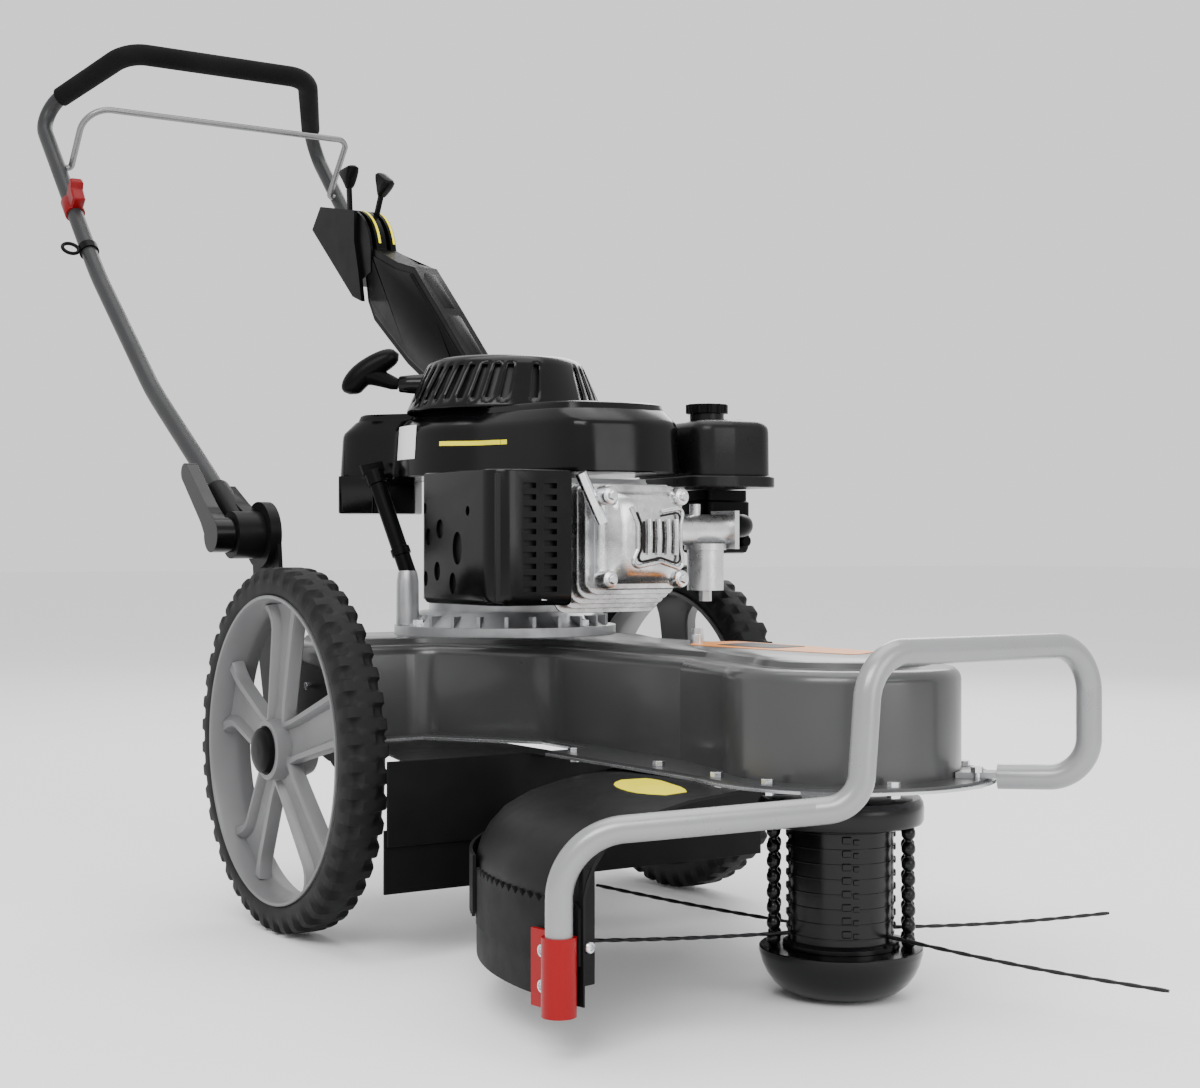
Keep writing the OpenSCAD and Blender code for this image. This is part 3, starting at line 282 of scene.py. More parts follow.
def bridge(rows, close_rows=False, close_ring=True):
    """Faces between rows of equal length."""
    faces = []
    count, size = len(rows), len(rows[0])
    for i in range(count if close_rows else count - 1):
        a, b = rows[i], rows[(i + 1) % count]
        for j in range(size if close_ring else size - 1):
            k = (j + 1) % size
            faces.append((a[j], a[k], b[k], b[j]))
    return faces


def loft(name, loops, slot, body="chassis", stands_for=(), closed=False, bevel=0.0):
    """A skin over loops of equal length, capped at both ends unless it is closed."""
    points, rows = stacked(loops)
    faces = bridge(rows, close_rows=closed)
    if not closed:
        faces += [tuple(rows[0]), tuple(rows[-1])]
    return from_lists(name, points, faces, slot, body, stands_for, bevel)


def arc(start, a, b, r, steps):
    """Points of an arc that leaves start in direction a and ends in direction b."""
    turn = a.angle(b)
    inward = (b - a * a.dot(b)).normalized()
    centre = start + inward * r
    return [centre + r * (sin(t) * a - cos(t) * inward) for t in (turn * k / steps for k in range(steps + 1))]


def bent_line(points, bends, step=5.0):
    """Points along a polyline whose inner corners are rounded to the radii in bends."""
    points = [Vector(p) for p in points]
    line = [points[0]]
    for i, r in zip(range(1, len(points) - 1), bends):
        a = (points[i] - points[i - 1]).normalized()
        b = (points[i + 1] - points[i]).normalized()
        turn = a.angle(b)
        line += arc(points[i] - a * r * tan(turn / 2), a, b, r, max(2, ceil(degrees(turn) / step)))
    return line + [points[-1]]


def carried_frames(line):
    """Two cross vectors at each point of a line, carried along without twist."""
    frames = []
    side = None
    for i in range(len(line)):
        d = (line[min(i + 1, len(line) - 1)] - line[max(i - 1, 0)]).normalized()
        if side is None:
            side = d.cross(Vector((0.3, 1, 0.2))).normalized()
        side = (side - d * side.dot(d)).normalized()
        frames.append((side, d.cross(side)))
    return frames


def tube(name, line, radius, slot, body="chassis", stands_for=(), sides=28, wall=0.0):
    """A round rod along a line, or a tube open at both ends when it has a wall."""
    line = [Vector(p) for p in line]
    frames = carried_frames(line)
    radii = radius if isinstance(radius, list) else [radius] * len(line)

    def ring(i, r):
        u, v = frames[i]
        return [line[i] + r * (cos(a) * u + sin(a) * v) for a in (2 * pi * j / sides for j in range(sides))]
    loops = [ring(i, radii[i]) for i in range(len(line))]
    if wall:
        loops += [ring(i, radii[i] - wall) for i in range(len(line))][::-1]
    return loft(name, loops, slot, body, stands_for, closed=bool(wall))


def to_axis(axis):
    """The turn from the upright axis to another."""
    return Vector((0, 0, 1)).rotation_difference(Vector(axis)).to_matrix()


def lathe(name, profile, slot, body="chassis", stands_for=(), at=(0, 0, 0), axis=(0, 0, 1), segments=96,
          sweep=None, closed=False):
    """A profile of (radius, height) turned about an axis; a sweep (from, to) in degrees leaves it open."""
    turn = to_axis(axis)
    at = Vector(at)
    start, end = sweep or (0, 360)
    loops = []
    for i in range(segments if sweep is None else segments + 1):
        a = radians(start + (end - start) * i / segments)
        loops.append([at + turn @ circle(r, a, z) for r, z in profile])
    points, rows = stacked(loops)
    faces = bridge(rows, close_rows=sweep is None, close_ring=closed)
    if sweep is not None:
        faces += [tuple(rows[0]), tuple(rows[-1])]
    return from_lists(name, points, faces, slot, body, stands_for)


def block(name, low, high, slot, body="chassis", bevel=1.0, turn=None):
    """A box with rounded edges, turned about the origin."""
    xs, ys, zs = zip(low, high)
    points = [Vector((x, y, z)) for x in xs for y in ys for z in zs]
    if turn is not None:
        points = [turn @ p for p in points]
    faces = [(0, 1, 3, 2), (4, 6, 7, 5), (0, 4, 5, 1), (2, 3, 7, 6), (0, 2, 6, 4), (1, 5, 7, 3)]
    from_lists(name, points, faces, slot, body, bevel=bevel)


def hex_bolt(name, at, axis, across, height):
    """A hexagon head with a chamfered crown, on a washer."""
    r = across / sqrt(3)
    turn = to_axis(Vector(axis).normalized())
    rings = [[Vector(at) + turn @ circle(radius, pi * j / 3, z) for j in range(6)]
             for radius, z in ((r, 1.2), (r, 0.72 * height), (0.8 * r, height))]
    head = loft(name, rings, "zinc")
    add_bevel(head, 0.4, angle=25)
    washer = [(0, 0), (r * 1.35, 0), (r * 1.35, 1), (r * 1.2, 1.3), (0, 1.3)]
    lathe(name + "_washer", washer, "zinc", at=at, axis=axis, segments=32)


def screw(name, at, axis, radius):
    """A domed screw head with a round recess."""
    shares = ((1, 0), (1, 0.25), (0.85, 0.5), (0.5, 0.62), (0.42, 0.2), (0, 0.2))
    lathe(name, [(r * radius, z * radius) for r, z in shares], "zinc", at=at, axis=axis, segments=28)


def rounded_loop(points, radii, steps=6):
    """A closed outline with each corner rounded in the same number of steps, or kept where its radius is 0."""
    out = []
    count = len(points)
    for i, r in enumerate(radii):
        p = Vector(points[i])
        a = (p - Vector(points[i - 1])).normalized()
        b = (Vector(points[(i + 1) % count]) - p).normalized()
        turn = a.angle(b)
        if r <= 0 or turn < 0.01:
            out += [p] * (1 if r <= 0 else steps + 1)
            continue
        out += arc(p - a * (r * tan(turn / 2)), a, b, r, steps)
    return out


def inset(points, d):
    """A closed counter-clockwise outline moved inwards by d, with mitred corners."""
    out = []
    count = len(points)
    for i in range(count):
        p = Vector(points[i])
        a = (p - Vector(points[i - 1])).normalized()
        b = (Vector(points[(i + 1) % count]) - p).normalized()
        na, nb = Vector((-a.y, a.x)), Vector((-b.y, b.x))
        mid = (na + nb).normalized()
        out.append(p + mid * d / max(0.3, mid.dot(na)))
    return out


def at_z(loop, z):
    return [Vector((p[0], p[1], z)) for p in loop]


# ---------- places taken from the frame ----------

tyre_low, tyre_high = corners("tyre_right")
left_low, left_high = corners("tyre_left")
AXLE_X = (tyre_low.x + tyre_high.x) / 2
WHEEL_R = (tyre_high.z - tyre_low.z) / 2
TYRE_DEPTH = 29
TYRE_HALF = (tyre_high.y - tyre_low.y) / 2
TYRE_Y = {"right": (tyre_low.y + tyre_high.y) / 2, "left": (left_low.y + left_high.y) / 2}
MID_Y = (TYRE_Y["right"] + TYRE_Y["left"]) / 2
deck_low, deck_high = corners("deck_shell")
DECK_Z = deck_low.z
DECK_SHOULDER = deck_high.z - 7
crank_low, crank_high = corners("flywheel")
CRANK_X = (crank_low.x + crank_high.x) / 2
guard_low, guard_high = corners("muffler_guard")


# ---------- wheels ----------

def wheel_point(side, angle, r, w):
    """w runs from the tyre's middle outboard."""
    sign = -1 if side == "right" else 1
    return Vector((AXLE_X + r * cos(angle), TYRE_Y[side] + sign * w, WHEEL_R + r * sin(angle)))


def tyre(side):
    """A tyre whose lugs alternate from one shoulder to the other."""
    lugs = 45
    per_lug = 10
    seat = WHEEL_R - TYRE_DEPTH
    half = TYRE_HALF
    # (w, r, drop of w, drop of r between the lugs)
    shoulder = [(half - 3, seat, 0, 0), (half - 0.6, seat + 4, 0, 0), (half, seat + 11, 0, 0),
                (half - 0.3, seat + 16, 0.6, 0.3), (half - 0.7, seat + 21, 3.2, 1.0),
                (half - 1.9, WHEEL_R - 4, 4.6, 2.2), (half - 4.2, WHEEL_R - 1.2, 4.2, 4.4),
                (half - 7.5, WHEEL_R - 0.3, 1.8, 5.2), (half - 12.5, WHEEL_R - 0.1, 0.0, 5.0),
                (half - 15.5, WHEEL_R, 0.0, 2.6), (half - 17.5, WHEEL_R, 0, 0)]
    section = [(w, r, dw, dr, 0.0) for w, r, dw, dr in shoulder]
    section += [(0, WHEEL_R, 0, 0, 0.0)]
    section += [(-w, r, -dw, dr, 0.5) for w, r, dw, dr in reversed(shoulder)]
    section += [(-(half - 3), seat, 0, 0, 0.0)]
    loops = []
    for i in range(lugs * per_lug):
        angle = 2 * pi * i / (lugs * per_lug)
        loop = []
        for w, r, dw, dr, shift in section:
            phase = (i / per_lug + shift) % 1.0
            gap = min(1.0, max(0.0, (0.26 - abs(phase - 0.5)) / 0.08))
            loop.append(wheel_point(side, angle, r - dr * gap, w - dw * gap))
        loops.append(loop)
    loft(f"tyre_{side}_tread", loops, "tyre", "wheel_" + side, ("tyre_" + side,), closed=True)


def rim_surface(side):
    """Five broad trough spokes with raised edges, on a deep barrel."""
    body = "wheel_" + side
    rim_r = WHEEL_R - TYRE_DEPTH
    half = TYRE_HALF
    axis = (0, -1 if side == "right" else 1, 0)
    centre = (AXLE_X, TYRE_Y[side], WHEEL_R)
    barrel = [(0, -half), (0, half - 0.5), (1.2, half + 0.4), (3.2, half - 0.4), (5, half - 4), (6.5, half - 16),
              (9, -4), (8, -10), (4, -half)]
    lathe(f"rim_{side}_barrel", [(rim_r - d, w) for d, w in barrel], "rim", body, ("rim_" + side,),
          at=centre, axis=axis, segments=144, closed=True)
    lathe(f"rim_{side}_hub",
          [(8.6, -22), (27, -22), (30, -14), (33, 4), (32, 12), (31.5, 21), (30.6, 25.6), (28.6, 27),
           (25.6, 26.8), (24.4, 25), (24.2, 15), (8.6, 15)],
          "rim", body, at=centre, axis=axis, segments=72, closed=True)
    lathe(f"hub_cap_{side}_face", [(24, 15.4), (24, 29), (22.8, 32.4), (19.5, 34.6), (12, 35.6), (0, 36)],
          "matt_black", body, ("hub_cap_" + side,), at=centre, axis=axis, segments=56)
    # across a spoke: (share of its half width, height of the front face above the web)
    flank = [(-1.0, -13), (-0.97, -3), (-0.93, 0), (-0.72, 0.8), (-0.64, -2), (-0.56, -7.5), (-0.3, -9.4)]
    trough = flank + [(0, -9.8)] + [(-u, h) for u, h in reversed(flank)]
    steps = 15
    for n in range(5):
        middle = radians(90 + 72 * n)
        loops = []
        for i in range(steps + 1):
            t = i / steps
            r = 25 + t * (rim_r - 8 - 25)
            flare = max(0.0, (t - 0.78) / 0.22)
            root = max(0.0, (0.2 - t) / 0.2)
            half_w = 21 + 9 * t + 13 * flare ** 2 + 3 * root
            face = 16.5 - 10.5 * t + 4 * flare ** 2
            section = [(u, h * (1 - 0.55 * root)) for u, h in trough]
            section += [(u, -15) for u in (0.9, 0.45, 0, -0.45, -0.9)]
            reach = max(r, half_w + 1)
            loops.append([wheel_point(side, middle + asin(min(0.99, u * half_w / reach)), r, face + h)
                          for u, h in section])
        loft(f"rim_{side}_spoke_{n}", loops, "rim", body)


for wheel_side in ("right", "left"):
    tyre(wheel_side)
    rim_surface(wheel_side)


# ---------- deck ----------

def deck_plan():
    """Corners and corner radii of the deck's wall, anticlockwise from the right rear."""
    half, nose_r = 190, 107
    right, left = MID_Y - half, MID_Y + half
    points = [(-720, right), (-518, right), (-518, -148), (-392, -62), (-150, -70)]
    radii = [20, 20, 40, 90, 30]
    for k in range(25):
        a = radians(-126 + 216 * k / 24)
        points.append((nose_r * cos(a), nose_r * sin(a)))
        radii.append(0)
    points += [(-390, nose_r), (-470, left), (-720, left)]
    radii += [60, 40, 20]
    return points, radii


def deck():
    """The pressed sheet: a wall, a rounded shoulder and a raised plateau."""
    points, radii = deck_plan()

    def ring(d, z):
        return at_z(rounded_loop(inset(points, d), [max(r - d * 0.4, 5) if r else 0 for r in radii], 8), z)
    top = DECK_SHOULDER
    plateau = deck_high.z
    fillet = 11
    loops = [ring(0, DECK_Z), ring(0, top - fillet)]
    loops += [ring(fillet * (1 - cos(a)), top - fillet * (1 - sin(a)))
              for a in (radians(18 * k) for k in range(1, 6))]
    loops += [ring(24, top), ring(27, top + 1.2), ring(30, plateau - 1.2), ring(33, plateau)]
    sheet = 2.5
    under = [ring(sheet, DECK_Z), ring(sheet, top - 14), ring(13, top - sheet), ring(26, top - sheet),
             ring(33, plateau - sheet)]
    # the sheet's upper side, then its underside
    points, rows = stacked(loops)
    low_points, low_rows = stacked(under, len(points))
    faces = bridge(rows) + [tuple(rows[-1])] + bridge(low_rows) + [tuple(low_rows[-1])]
    faces += bridge([rows[0], low_rows[0]])
    from_lists("deck_sheet", points + low_points, faces, "deck")


deck()
from_node("deck_shell", "deck_flange", keep=lambda p: p.z < DECK_Z + 2.6)


def outer_outline(node, z):
    """The longest closed loop of a CAD node's edges at one height, anticlockwise."""
    bm = merged(frame["nodes"][node].data)
    links = {}
    for e in bm.edges:
        a, b = e.verts
        flat = all(abs(v.co.z / MM - z) < 0.06 for v in (a, b))
        walls = [f for f in e.link_faces if abs(f.normal.z) < 0.5]
        if flat and walls:
            links.setdefault(a, []).append(b)
            links.setdefault(b, []).append(a)
    best, longest = [], 0.0
    seen = set()
    for first in links:
        loop = []
        onward = [first] if first not in seen else []
        while onward:
            loop.append(onward[0])
            seen.add(onward[0])
            onward = [v for v in links[loop[-1]] if v not in seen]
        length = sum((loop[i].co - loop[i - 1].co).length for i in range(len(loop)))
        if len(loop) > 2 and length > longest:
            best, longest = [v.co.copy() for v in loop], length
    bm.free()
    plan = [Vector((p.x, p.y)) / MM for p in best]
    area = sum(plan[i - 1].x * plan[i].y - plan[i].x * plan[i - 1].y for i in range(len(plan)))
    return plan if area > 0 else plan[::-1]


for plain, width in (("cover_plate", 0.5), ("frame_bolts", 0.5), ("bracket_right", 1.0), ("bracket_left", 1.0),
                     ("rear_panel", 0.8), ("foot_bracket", 1.0), ("crankcase", 0.9), ("cylinder_head", 0.8),
                     ("carburetor", 1.2), ("handle_sockets", 1.4), ("console", 2.4), ("cable_cover", 2.6),
                     ("rope_guide", 0.6), ("clamp_lever_right", 3.4), ("clamp_lever_left", 3.4),
                     ("fuel_cap", 1.0), ("dipstick", 1.0)):
    from_node(plain, plain + "_soft", width)


# ---------- guards ----------

HEAD_ARC = (-158, -78)
SKIRT_R = 331
skirt_top = corners("skirt_shield")[1].z
outer = [(140, skirt_top), (170, skirt_top - 1), (205, 192), (240, 187.6), (268, 181), (290, 173.5), (306, 164),
         (317, 152), (324, 140), (SKIRT_R - 3.2, 128), (SKIRT_R - 3.2, 92)]
sheet = 2.6
inner = [(r - sheet, z - sheet) for r, z in outer[1:-1]]
lathe("skirt_dome", outer + [(SKIRT_R - 6, 92)] + inner[::-1] + [(140, skirt_top - sheet)], "shield",
      stands_for=("skirt_shield",), segments=60, sweep=HEAD_ARC, closed=True)


def toothed_band(name, r_in, r_out, low, high, teeth, start, end, top_teeth):
    """A rubber band round the skirt, with small teeth along its upper or lower edge."""
    per = 6
    loops = []
    for i in range(teeth * per + 1):
        a = radians(start + (end - start) * i / (teeth * per))
        tooth = 5.5 * abs(((i / per) % 1.0) * 2 - 1)
        top = high - (tooth if top_teeth else 0)
        bottom = low + (0 if top_teeth else tooth)
        loops.append([circle(r, a, z) for r, z in ((r_in, bottom), (r_out, bottom), (r_out, top), (r_in, top))])
    loft(name, loops, "rubber")


toothed_band("flap_upper_rear", SKIRT_R, SKIRT_R + 3, 80, 134, 22, -157.8, -112, False)
toothed_band("flap_upper_front", SKIRT_R - 3, SKIRT_R - 0.2, 74, 124, 16, -112.5, -78.4, True)
lathe("flap_lower", [(SKIRT_R - 5, 42), (SKIRT_R - 3.4, 42), (SKIRT_R - 3.2, 92), (SKIRT_R - 5, 92)],
      "rubber", "chassis", ("rubber_flaps",), segments=60, sweep=HEAD_ARC, closed=True)
block("flap_rear", (-334, -290, 66), (-331, 170, 128), "rubber", "chassis", 0.8)
# upright strip that closes the skirt's front edge
end_turn = Matrix.Rotation(radians(HEAD_ARC[1]), 3, "Z")
block("skirt_edge", (SKIRT_R - 17, -7, 58), (SKIRT_R - 3.6, -0.5, 150), "rubber", "chassis", 1.0, turn=end_turn)
screw("skirt_edge_screw", end_turn @ Vector((SKIRT_R - 10, -0.4, 88)), end_turn @ Vector((0, 1, 0)), 5)


BAR_FOOT = (60, -338)
BAR_R = 11


def guard_bars():
    """The side bar and the front bar, whose foot on the deck is taken from its CAD node."""
    join = Vector((157, -161, 193))
    side = bent_line([(*BAR_FOOT, 39), (*BAR_FOOT, 177), join], [55], 4)
    tube("side_bar_tube", side, BAR_R, "bar", "chassis", ("side_bar",), sides=36, wall=1.8)
    front = bent_line([join, (178, -133, 197), (173, -118, 317), (173, 132, 317), (173, 132, 202),
                       (112, 84, 200)], [30, 42, 42, 35], 4)
    tube("front_bar_tube", front, BAR_R, "bar", "chassis", ("front_bar",), sides=36, wall=1.8)
    from_node("front_bar", "front_bar_end", 0.8, keep=lambda p: p.y > 30 and p.z < 204.8 and p.x < 132)


guard_bars()

foot_angle = atan2(BAR_FOOT[1], BAR_FOOT[0]) - radians(4.6)
for k, z in enumerate((54, 82)):
    screw(f"foot_screw_{k}", circle(335.6, foot_angle, z), circle(1, foot_angle), 6)


# ---------- cutting head ----------

def head_ring(name, profile, stands_for=(), at=(0, 0, 0), segments=120):
    lathe(name, profile, "head_plastic", "head", stands_for, at=at, segments=segments, closed=True)


head_ring("head_core", [(10, 47), (47, 50), (52, 47), (52, 43.4), (10, 43.4)], segments=96)
head_ring("head_collar", [(46, 150), (46, 153), (69, 153), (72.6, 154.4), (74.2, 157.5), (74.4, 168), (73.6, 173),
                          (71, 177), (66, 178), (12, 178), (12, 172), (42, 160)])
head_ring("head_spool", [(38, 50), (47.2, 50), (47.2, 150), (38, 150)], ("line_spool",))
for n in range(8):
    head_ring(f"head_ring_{n}", [(46.8, 0), (47.9, 0.3), (48.0, 1.0), (47.9, 1.5), (46.8, 1.8)],
              at=(0, 0, 55 + 13.2 * n), segments=96)
    for k in range(4):
        # a column of raised latch faces on each quarter of the core
        turn = Matrix.Rotation(radians(-31 + 90 * k), 3, "Z")
        for kind, low, high, bevel in (("latch", (45.5, -7, 58), (49.0, 1.5, 64.5), 1.2),
                                       ("pad", (45.5, 3, 57), (48.6, 8.5, 62), 1.0)):
            lift = Vector((0, 0, 11.8 * n))
            block(f"head_{kind}_{n}_{k}", Vector(low) + lift, Vector(high) + lift, "head_plastic", "head",
                  bevel, turn)

LINE_Z = (43, 153)  # foot and top of the beaded posts
posts = corners("line_posts")
beads = round((posts[1].z - posts[0].z) / 13.7)
pitch = (LINE_Z[1] - LINE_Z[0]) / beads
for n, post_angle in enumerate((-142, -120, 38, 60)):
    profile = [(0.05, 43.2)]
    for i in range(beads):
        for share, r in ((0.04, 3.3), (0.16, 4.6), (0.3, 6.0), (0.5, 6.35), (0.7, 6.0), (0.84, 4.6), (0.96, 3.3)):
            profile.append((r, LINE_Z[0] + pitch * (i + share)))
    profile.append((0.05, 152.9))
    lathe(f"line_post_{n}", profile, "head_plastic", "head", ("line_posts",), at=circle(61, radians(post_angle)),
          segments=24)

lathe("skid_cup_bowl",
      [(0, 0), (34, 0), (44, 1.3), (53, 5), (61, 11.5), (67, 20), (71, 29), (73, 36.6), (73.5, 38.4),
       (73.5, 42.2), (72.4, 43), (53, 43), (52.2, 42), (52.2, 40.2), (69.4, 39.8), (66, 31), (60, 20), (50, 9),
       (37, 4), (18, 4), (18, 36), (10.4, 36), (10.4, 12), (0, 12)],
      "cup_plastic", "head", ("skid_cup",), segments=128)


def trimmer_line(n, tip):
    """A twisted two-lobed line that sags a little along its length."""
    tip = Vector(tip)
    start = Vector((tip.x, tip.y, 0)).normalized() * 44 + Vector((0, 0, 56))
    count = 90
    along = (tip - start).normalized()
    side = along.cross(Vector((0, 0, 1))).normalized()
    up = side.cross(along)
    loops = []
    for i in range(count + 1):
        t = i / count
        p = start.lerp(tip, t) + up * (-2.2 * sin(pi * t)) + side * (2.5 * sin(pi * t))
        twist = 0.42 * i
        loop = []
        for j in range(12):
            a = 2 * pi * j / 12
            r = 1.25 + 0.62 * abs(cos(a - twist)) ** 1.3
            loop.append(p + r * (cos(a) * side + sin(a) * up))
        loops.append(loop)
    loft(f"trimmer_line_{n}", loops, "line", "head", ("trimmer_lines",))


for n, tip in enumerate([(78, 263, 56), (282, 105, 42), (-284, -76, 62), (-89, -238, 58)]):
    trimmer_line(n, tip)


# ---------- engine ----------

def crowned(name, outline, rows, slot, body="chassis", stands_for=()):
    """A skin stacked over one outline: rows of (inset, height), closed above and below."""
    loops = [at_z(inset(outline, d) if abs(d) > 1e-6 else outline, z) for d, z in rows]
    return loft(name, loops, slot, body, stands_for)


def quarter(inset_by, radius, top):
    """Rows of a rounded upper edge."""
    count = 6
    return [(inset_by + radius * (1 - cos(pi / 2 * k / count)),
             top - radius * (1 - sin(pi / 2 * k / count))) for k in range(count + 1)]


def polar(outline, count=240, soften=2):
    """Distances from the crankshaft to an outline round it, evened out over a few steps."""
    centre = Vector((CRANK_X, 0))
    radii = []
    for i in range(count):
        a = 2 * pi * i / count
        d = Vector((cos(a), sin(a)))
        best = 0.0
        for k in range(len(outline)):
            p, q = outline[k - 1] - centre, outline[k] - centre
            e = q - p
            det = d.x * -e.y + d.y * e.x
            if abs(det) < 1e-9:
                continue
            t = (p.x * -e.y + p.y * e.x) / det
            u = (d.x * p.y - d.y * p.x) / det
            if -1e-6 <= u <= 1 + 1e-6 and t > best:
                best = t
        radii.append(best)
    for _ in range(2):
        radii = [sum(radii[(i + k) % count] for k in range(-soften, soften + 1)) / (2 * soften + 1)
                 for i in range(count)]
    return radii


SHROUD_Z0 = 480
top = corners("blower_housing")[1].z
shroud = polar(outer_outline("blower_housing", top - 10))


def shroud_loop(d, z):
    """The shroud's outline at one height, moved inwards by d."""
    turns = [2 * pi * i / len(shroud) for i in range(len(shroud))]
    return [Vector((CRANK_X + (r - d) * cos(a), (r - d) * sin(a), z)) for r, a in zip(shroud, turns)]


low_rows = [(6, 1), (1.4, 0), (0.2, 1.5), (0.4, 6)]
high_rows = [(3.0, 30), (3.6, 25.5), (5.2, 21.5), (8.5, 18.5), (19, 9), (22, 7.6), (23.5, 4.5), (25, 1.5),
             (28, 0)]
rows = [(d, SHROUD_Z0 + z) for d, z in low_rows] + [(d, top - z) for d, z in high_rows]
loft("blower_shroud", [shroud_loop(*row) for row in rows], "gloss_black", stands_for=("blower_housing",))
rear = outer_outline("blower_housing", 440)
crowned("blower_rear_box", rear, [(3, 440), (0.9, 440.4), (0, 442), (0, 484)], "gloss_black")


# the starter rope's outlet and the way it is pulled
ROPE_EXIT = Vector((-656, -95, 590))
PULL = Vector((-0.551, -0.834, 0)).normalized()


def recoil():
    """Dome with slanted louvres over a dark inner skin, a painted shade seen through the slots."""
    base = [(113.8, 0), (113.2, 3)]
    low_r, low_z, high_r, high_z = 109.6, 10.5, 92.2, 49.5  # the band of louvres
    band = [(low_r + (high_r - low_r) * k / 4, low_z + (high_z - low_z) * k / 4) for k in range(5)]
    crown = [(89.5, 54.5), (85.5, 58.2), (79.5, 60.6), (72, 61.6), (40, 61.9), (0.01, 62)]
    rows = base + band + crown
    per = 4
    slots = 40
    count = slots * per
    closed_arcs = ((-31, -21), (-12, 12), (-150, -124))
    open_slots = set()
    for i in range(slots):
        a = (360 * i / slots + 180) % 360 - 180
        if not any(start < a < end for start, end in closed_arcs):
            open_slots.add(i)

    def at(i, r, z):
        slant = 5.0 * min(1.0, max(0.0, (z - low_z) / (high_z - low_z)))
        a = radians(360 * i / count + slant)
        return Vector((CRANK_X + r * cos(a), r * sin(a), top + z))
    points = [at(i, r, z) for r, z in rows for i in range(count)]
    faces = []
    for k in range(len(rows) - 1):
        in_band = len(base) <= k < len(base) + len(band) - 1
        for i in range(count):
            j = (i + 1) % count
            if not (in_band and i % per in (1, 2) and i // per in open_slots):
                faces.append((k * count + i, k * count + j, (k + 1) * count + j, (k + 1) * count + i))
    mesh = bpy.data.meshes.new("recoil_dome")
    mesh.from_pydata([p * MM for p in points], [], faces)
    dome = place(mesh, "recoil_dome", "gloss_black", stands_for=("recoil_cover",))
    solid = dome.modifiers.new("thick", "SOLIDIFY")
    solid.thickness = 3 * MM
    solid.offset = -1
    # dark sheet under the louvres: painted shade where the slots open onto the inside
    lathe("recoil_painted_shade", [(104, 1), (85, 50), (70, 55), (0.01, 55.5)], "dark_print", at=(CRANK_X, 0, top),
          segments=64)
    lathe("recoil_outlet", [(12, -26), (11, -6), (9.5, 8), (8.6, 9.2), (5.2, 9.2), (5.2, -26)], "gloss_black",
          at=ROPE_EXIT, axis=PULL, segments=36, closed=True)
    lathe("recoil_boss", [(26, 60.6), (26, 62.0), (24, 62.0), (24, 60.6)], "gloss_black",
          at=(CRANK_X, 0, top - 0.2), segments=48, closed=True)


recoil()


def carve(obj, cuts):
    """Cuts holes out of a piece, each (low corner, high corner, sides): a box for 4 sides, else round along y."""
    bm = bmesh.new()
    for low, high, sides in cuts:
        low, high = Vector(low), Vector(high)
        spot = Matrix.Translation((low + high) / 2 * MM) @ Matrix.Diagonal((*((high - low) * MM), 1))
        if sides == 4:
            bmesh.ops.create_cube(bm, size=1, matrix=spot)
        else:
            bmesh.ops.create_cone(bm, cap_ends=True, segments=sides, radius1=0.5, radius2=0.5, depth=1,
                                  matrix=spot @ Matrix.Rotation(pi / 2, 4, "X"))
    mesh = bpy.data.meshes.new("cutter")
    bm.to_mesh(mesh)
    bm.free()
    cutter = put("cutter", mesh)
    step = obj.modifiers.new("cut", "BOOLEAN")
    step.object = cutter
    step.operation = "DIFFERENCE"
    step.solver = "EXACT"
    bpy.context.view_layer.update()
    made = bpy.data.meshes.new_from_object(obj.evaluated_get(bpy.context.evaluated_depsgraph_get()))
    obj.modifiers.clear()
    obj.data = made
    bpy.data.objects.remove(cutter)
    smooth(made)


def guard():
    """Muffler guard: one bent sheet with a broad round edge, slots in front and holes at the side."""
    z0, z1 = guard_low.z, guard_high.z - 0.2
    path = [(-483, -84), (-484, -160), (-474, -171.5), (-321.6, -173.6), (-318.2, -84), (-400, -60)]
    line = rounded_loop(path, [1, 9, 9, 25, 1, 1], 9)
    sheet = 2.2
    rows = [(6, z0), (3, z0 + 1.2), (1.2, z0 + 3.6), (0.3, z0 + 7), (0, z0 + 11), (0, z1 - 3), (0.8, z1 - 0.8),
            (2.4, z1), (0.6 + sheet, z1 - 3), (0.6 + sheet, z0 + 11)]
    skin = loft("guard_shell", [at_z(inset(line, d), z) for d, z in rows], "gloss_black",
                stands_for=("muffler_guard",))
    cuts = []
    for y in (-133, -109):
        for i in range(10):
            foot = z0 + 14 + 11.6 * i
            cuts.append(((-332, y - 7.5, foot), (-310, y + 7.5, foot + 5.4), 4))
    for x, z, w, h in ((-462, 70, 12, 18), (-436, 78, 16, 20), (-398, 58, 20, 34), (-442, 34, 13, 20),
                       (-468, 26, 10, 16), (-408, 22, 14, 22), (-470, 100, 9, 12), (-376, 96, 8, 10)):
        cuts.append(((x - w / 2, -182, z0 + z - h / 2), (x + w / 2, -160, z0 + z + h / 2), 24))
    carve(skin, cuts)
    # dark block inside the guard: painted shade seen through its slots and holes
    block("guard_painted_shade", (-480, -168, z0 + 4), (-326, -90, z1 - 4), "dark_print", "chassis", 1.0)
    block("guard_mark", (-321.3, -119, z0 + 5.4), (-319.9, -104, z0 + 8.4), "white", "chassis", 0.4)


guard()


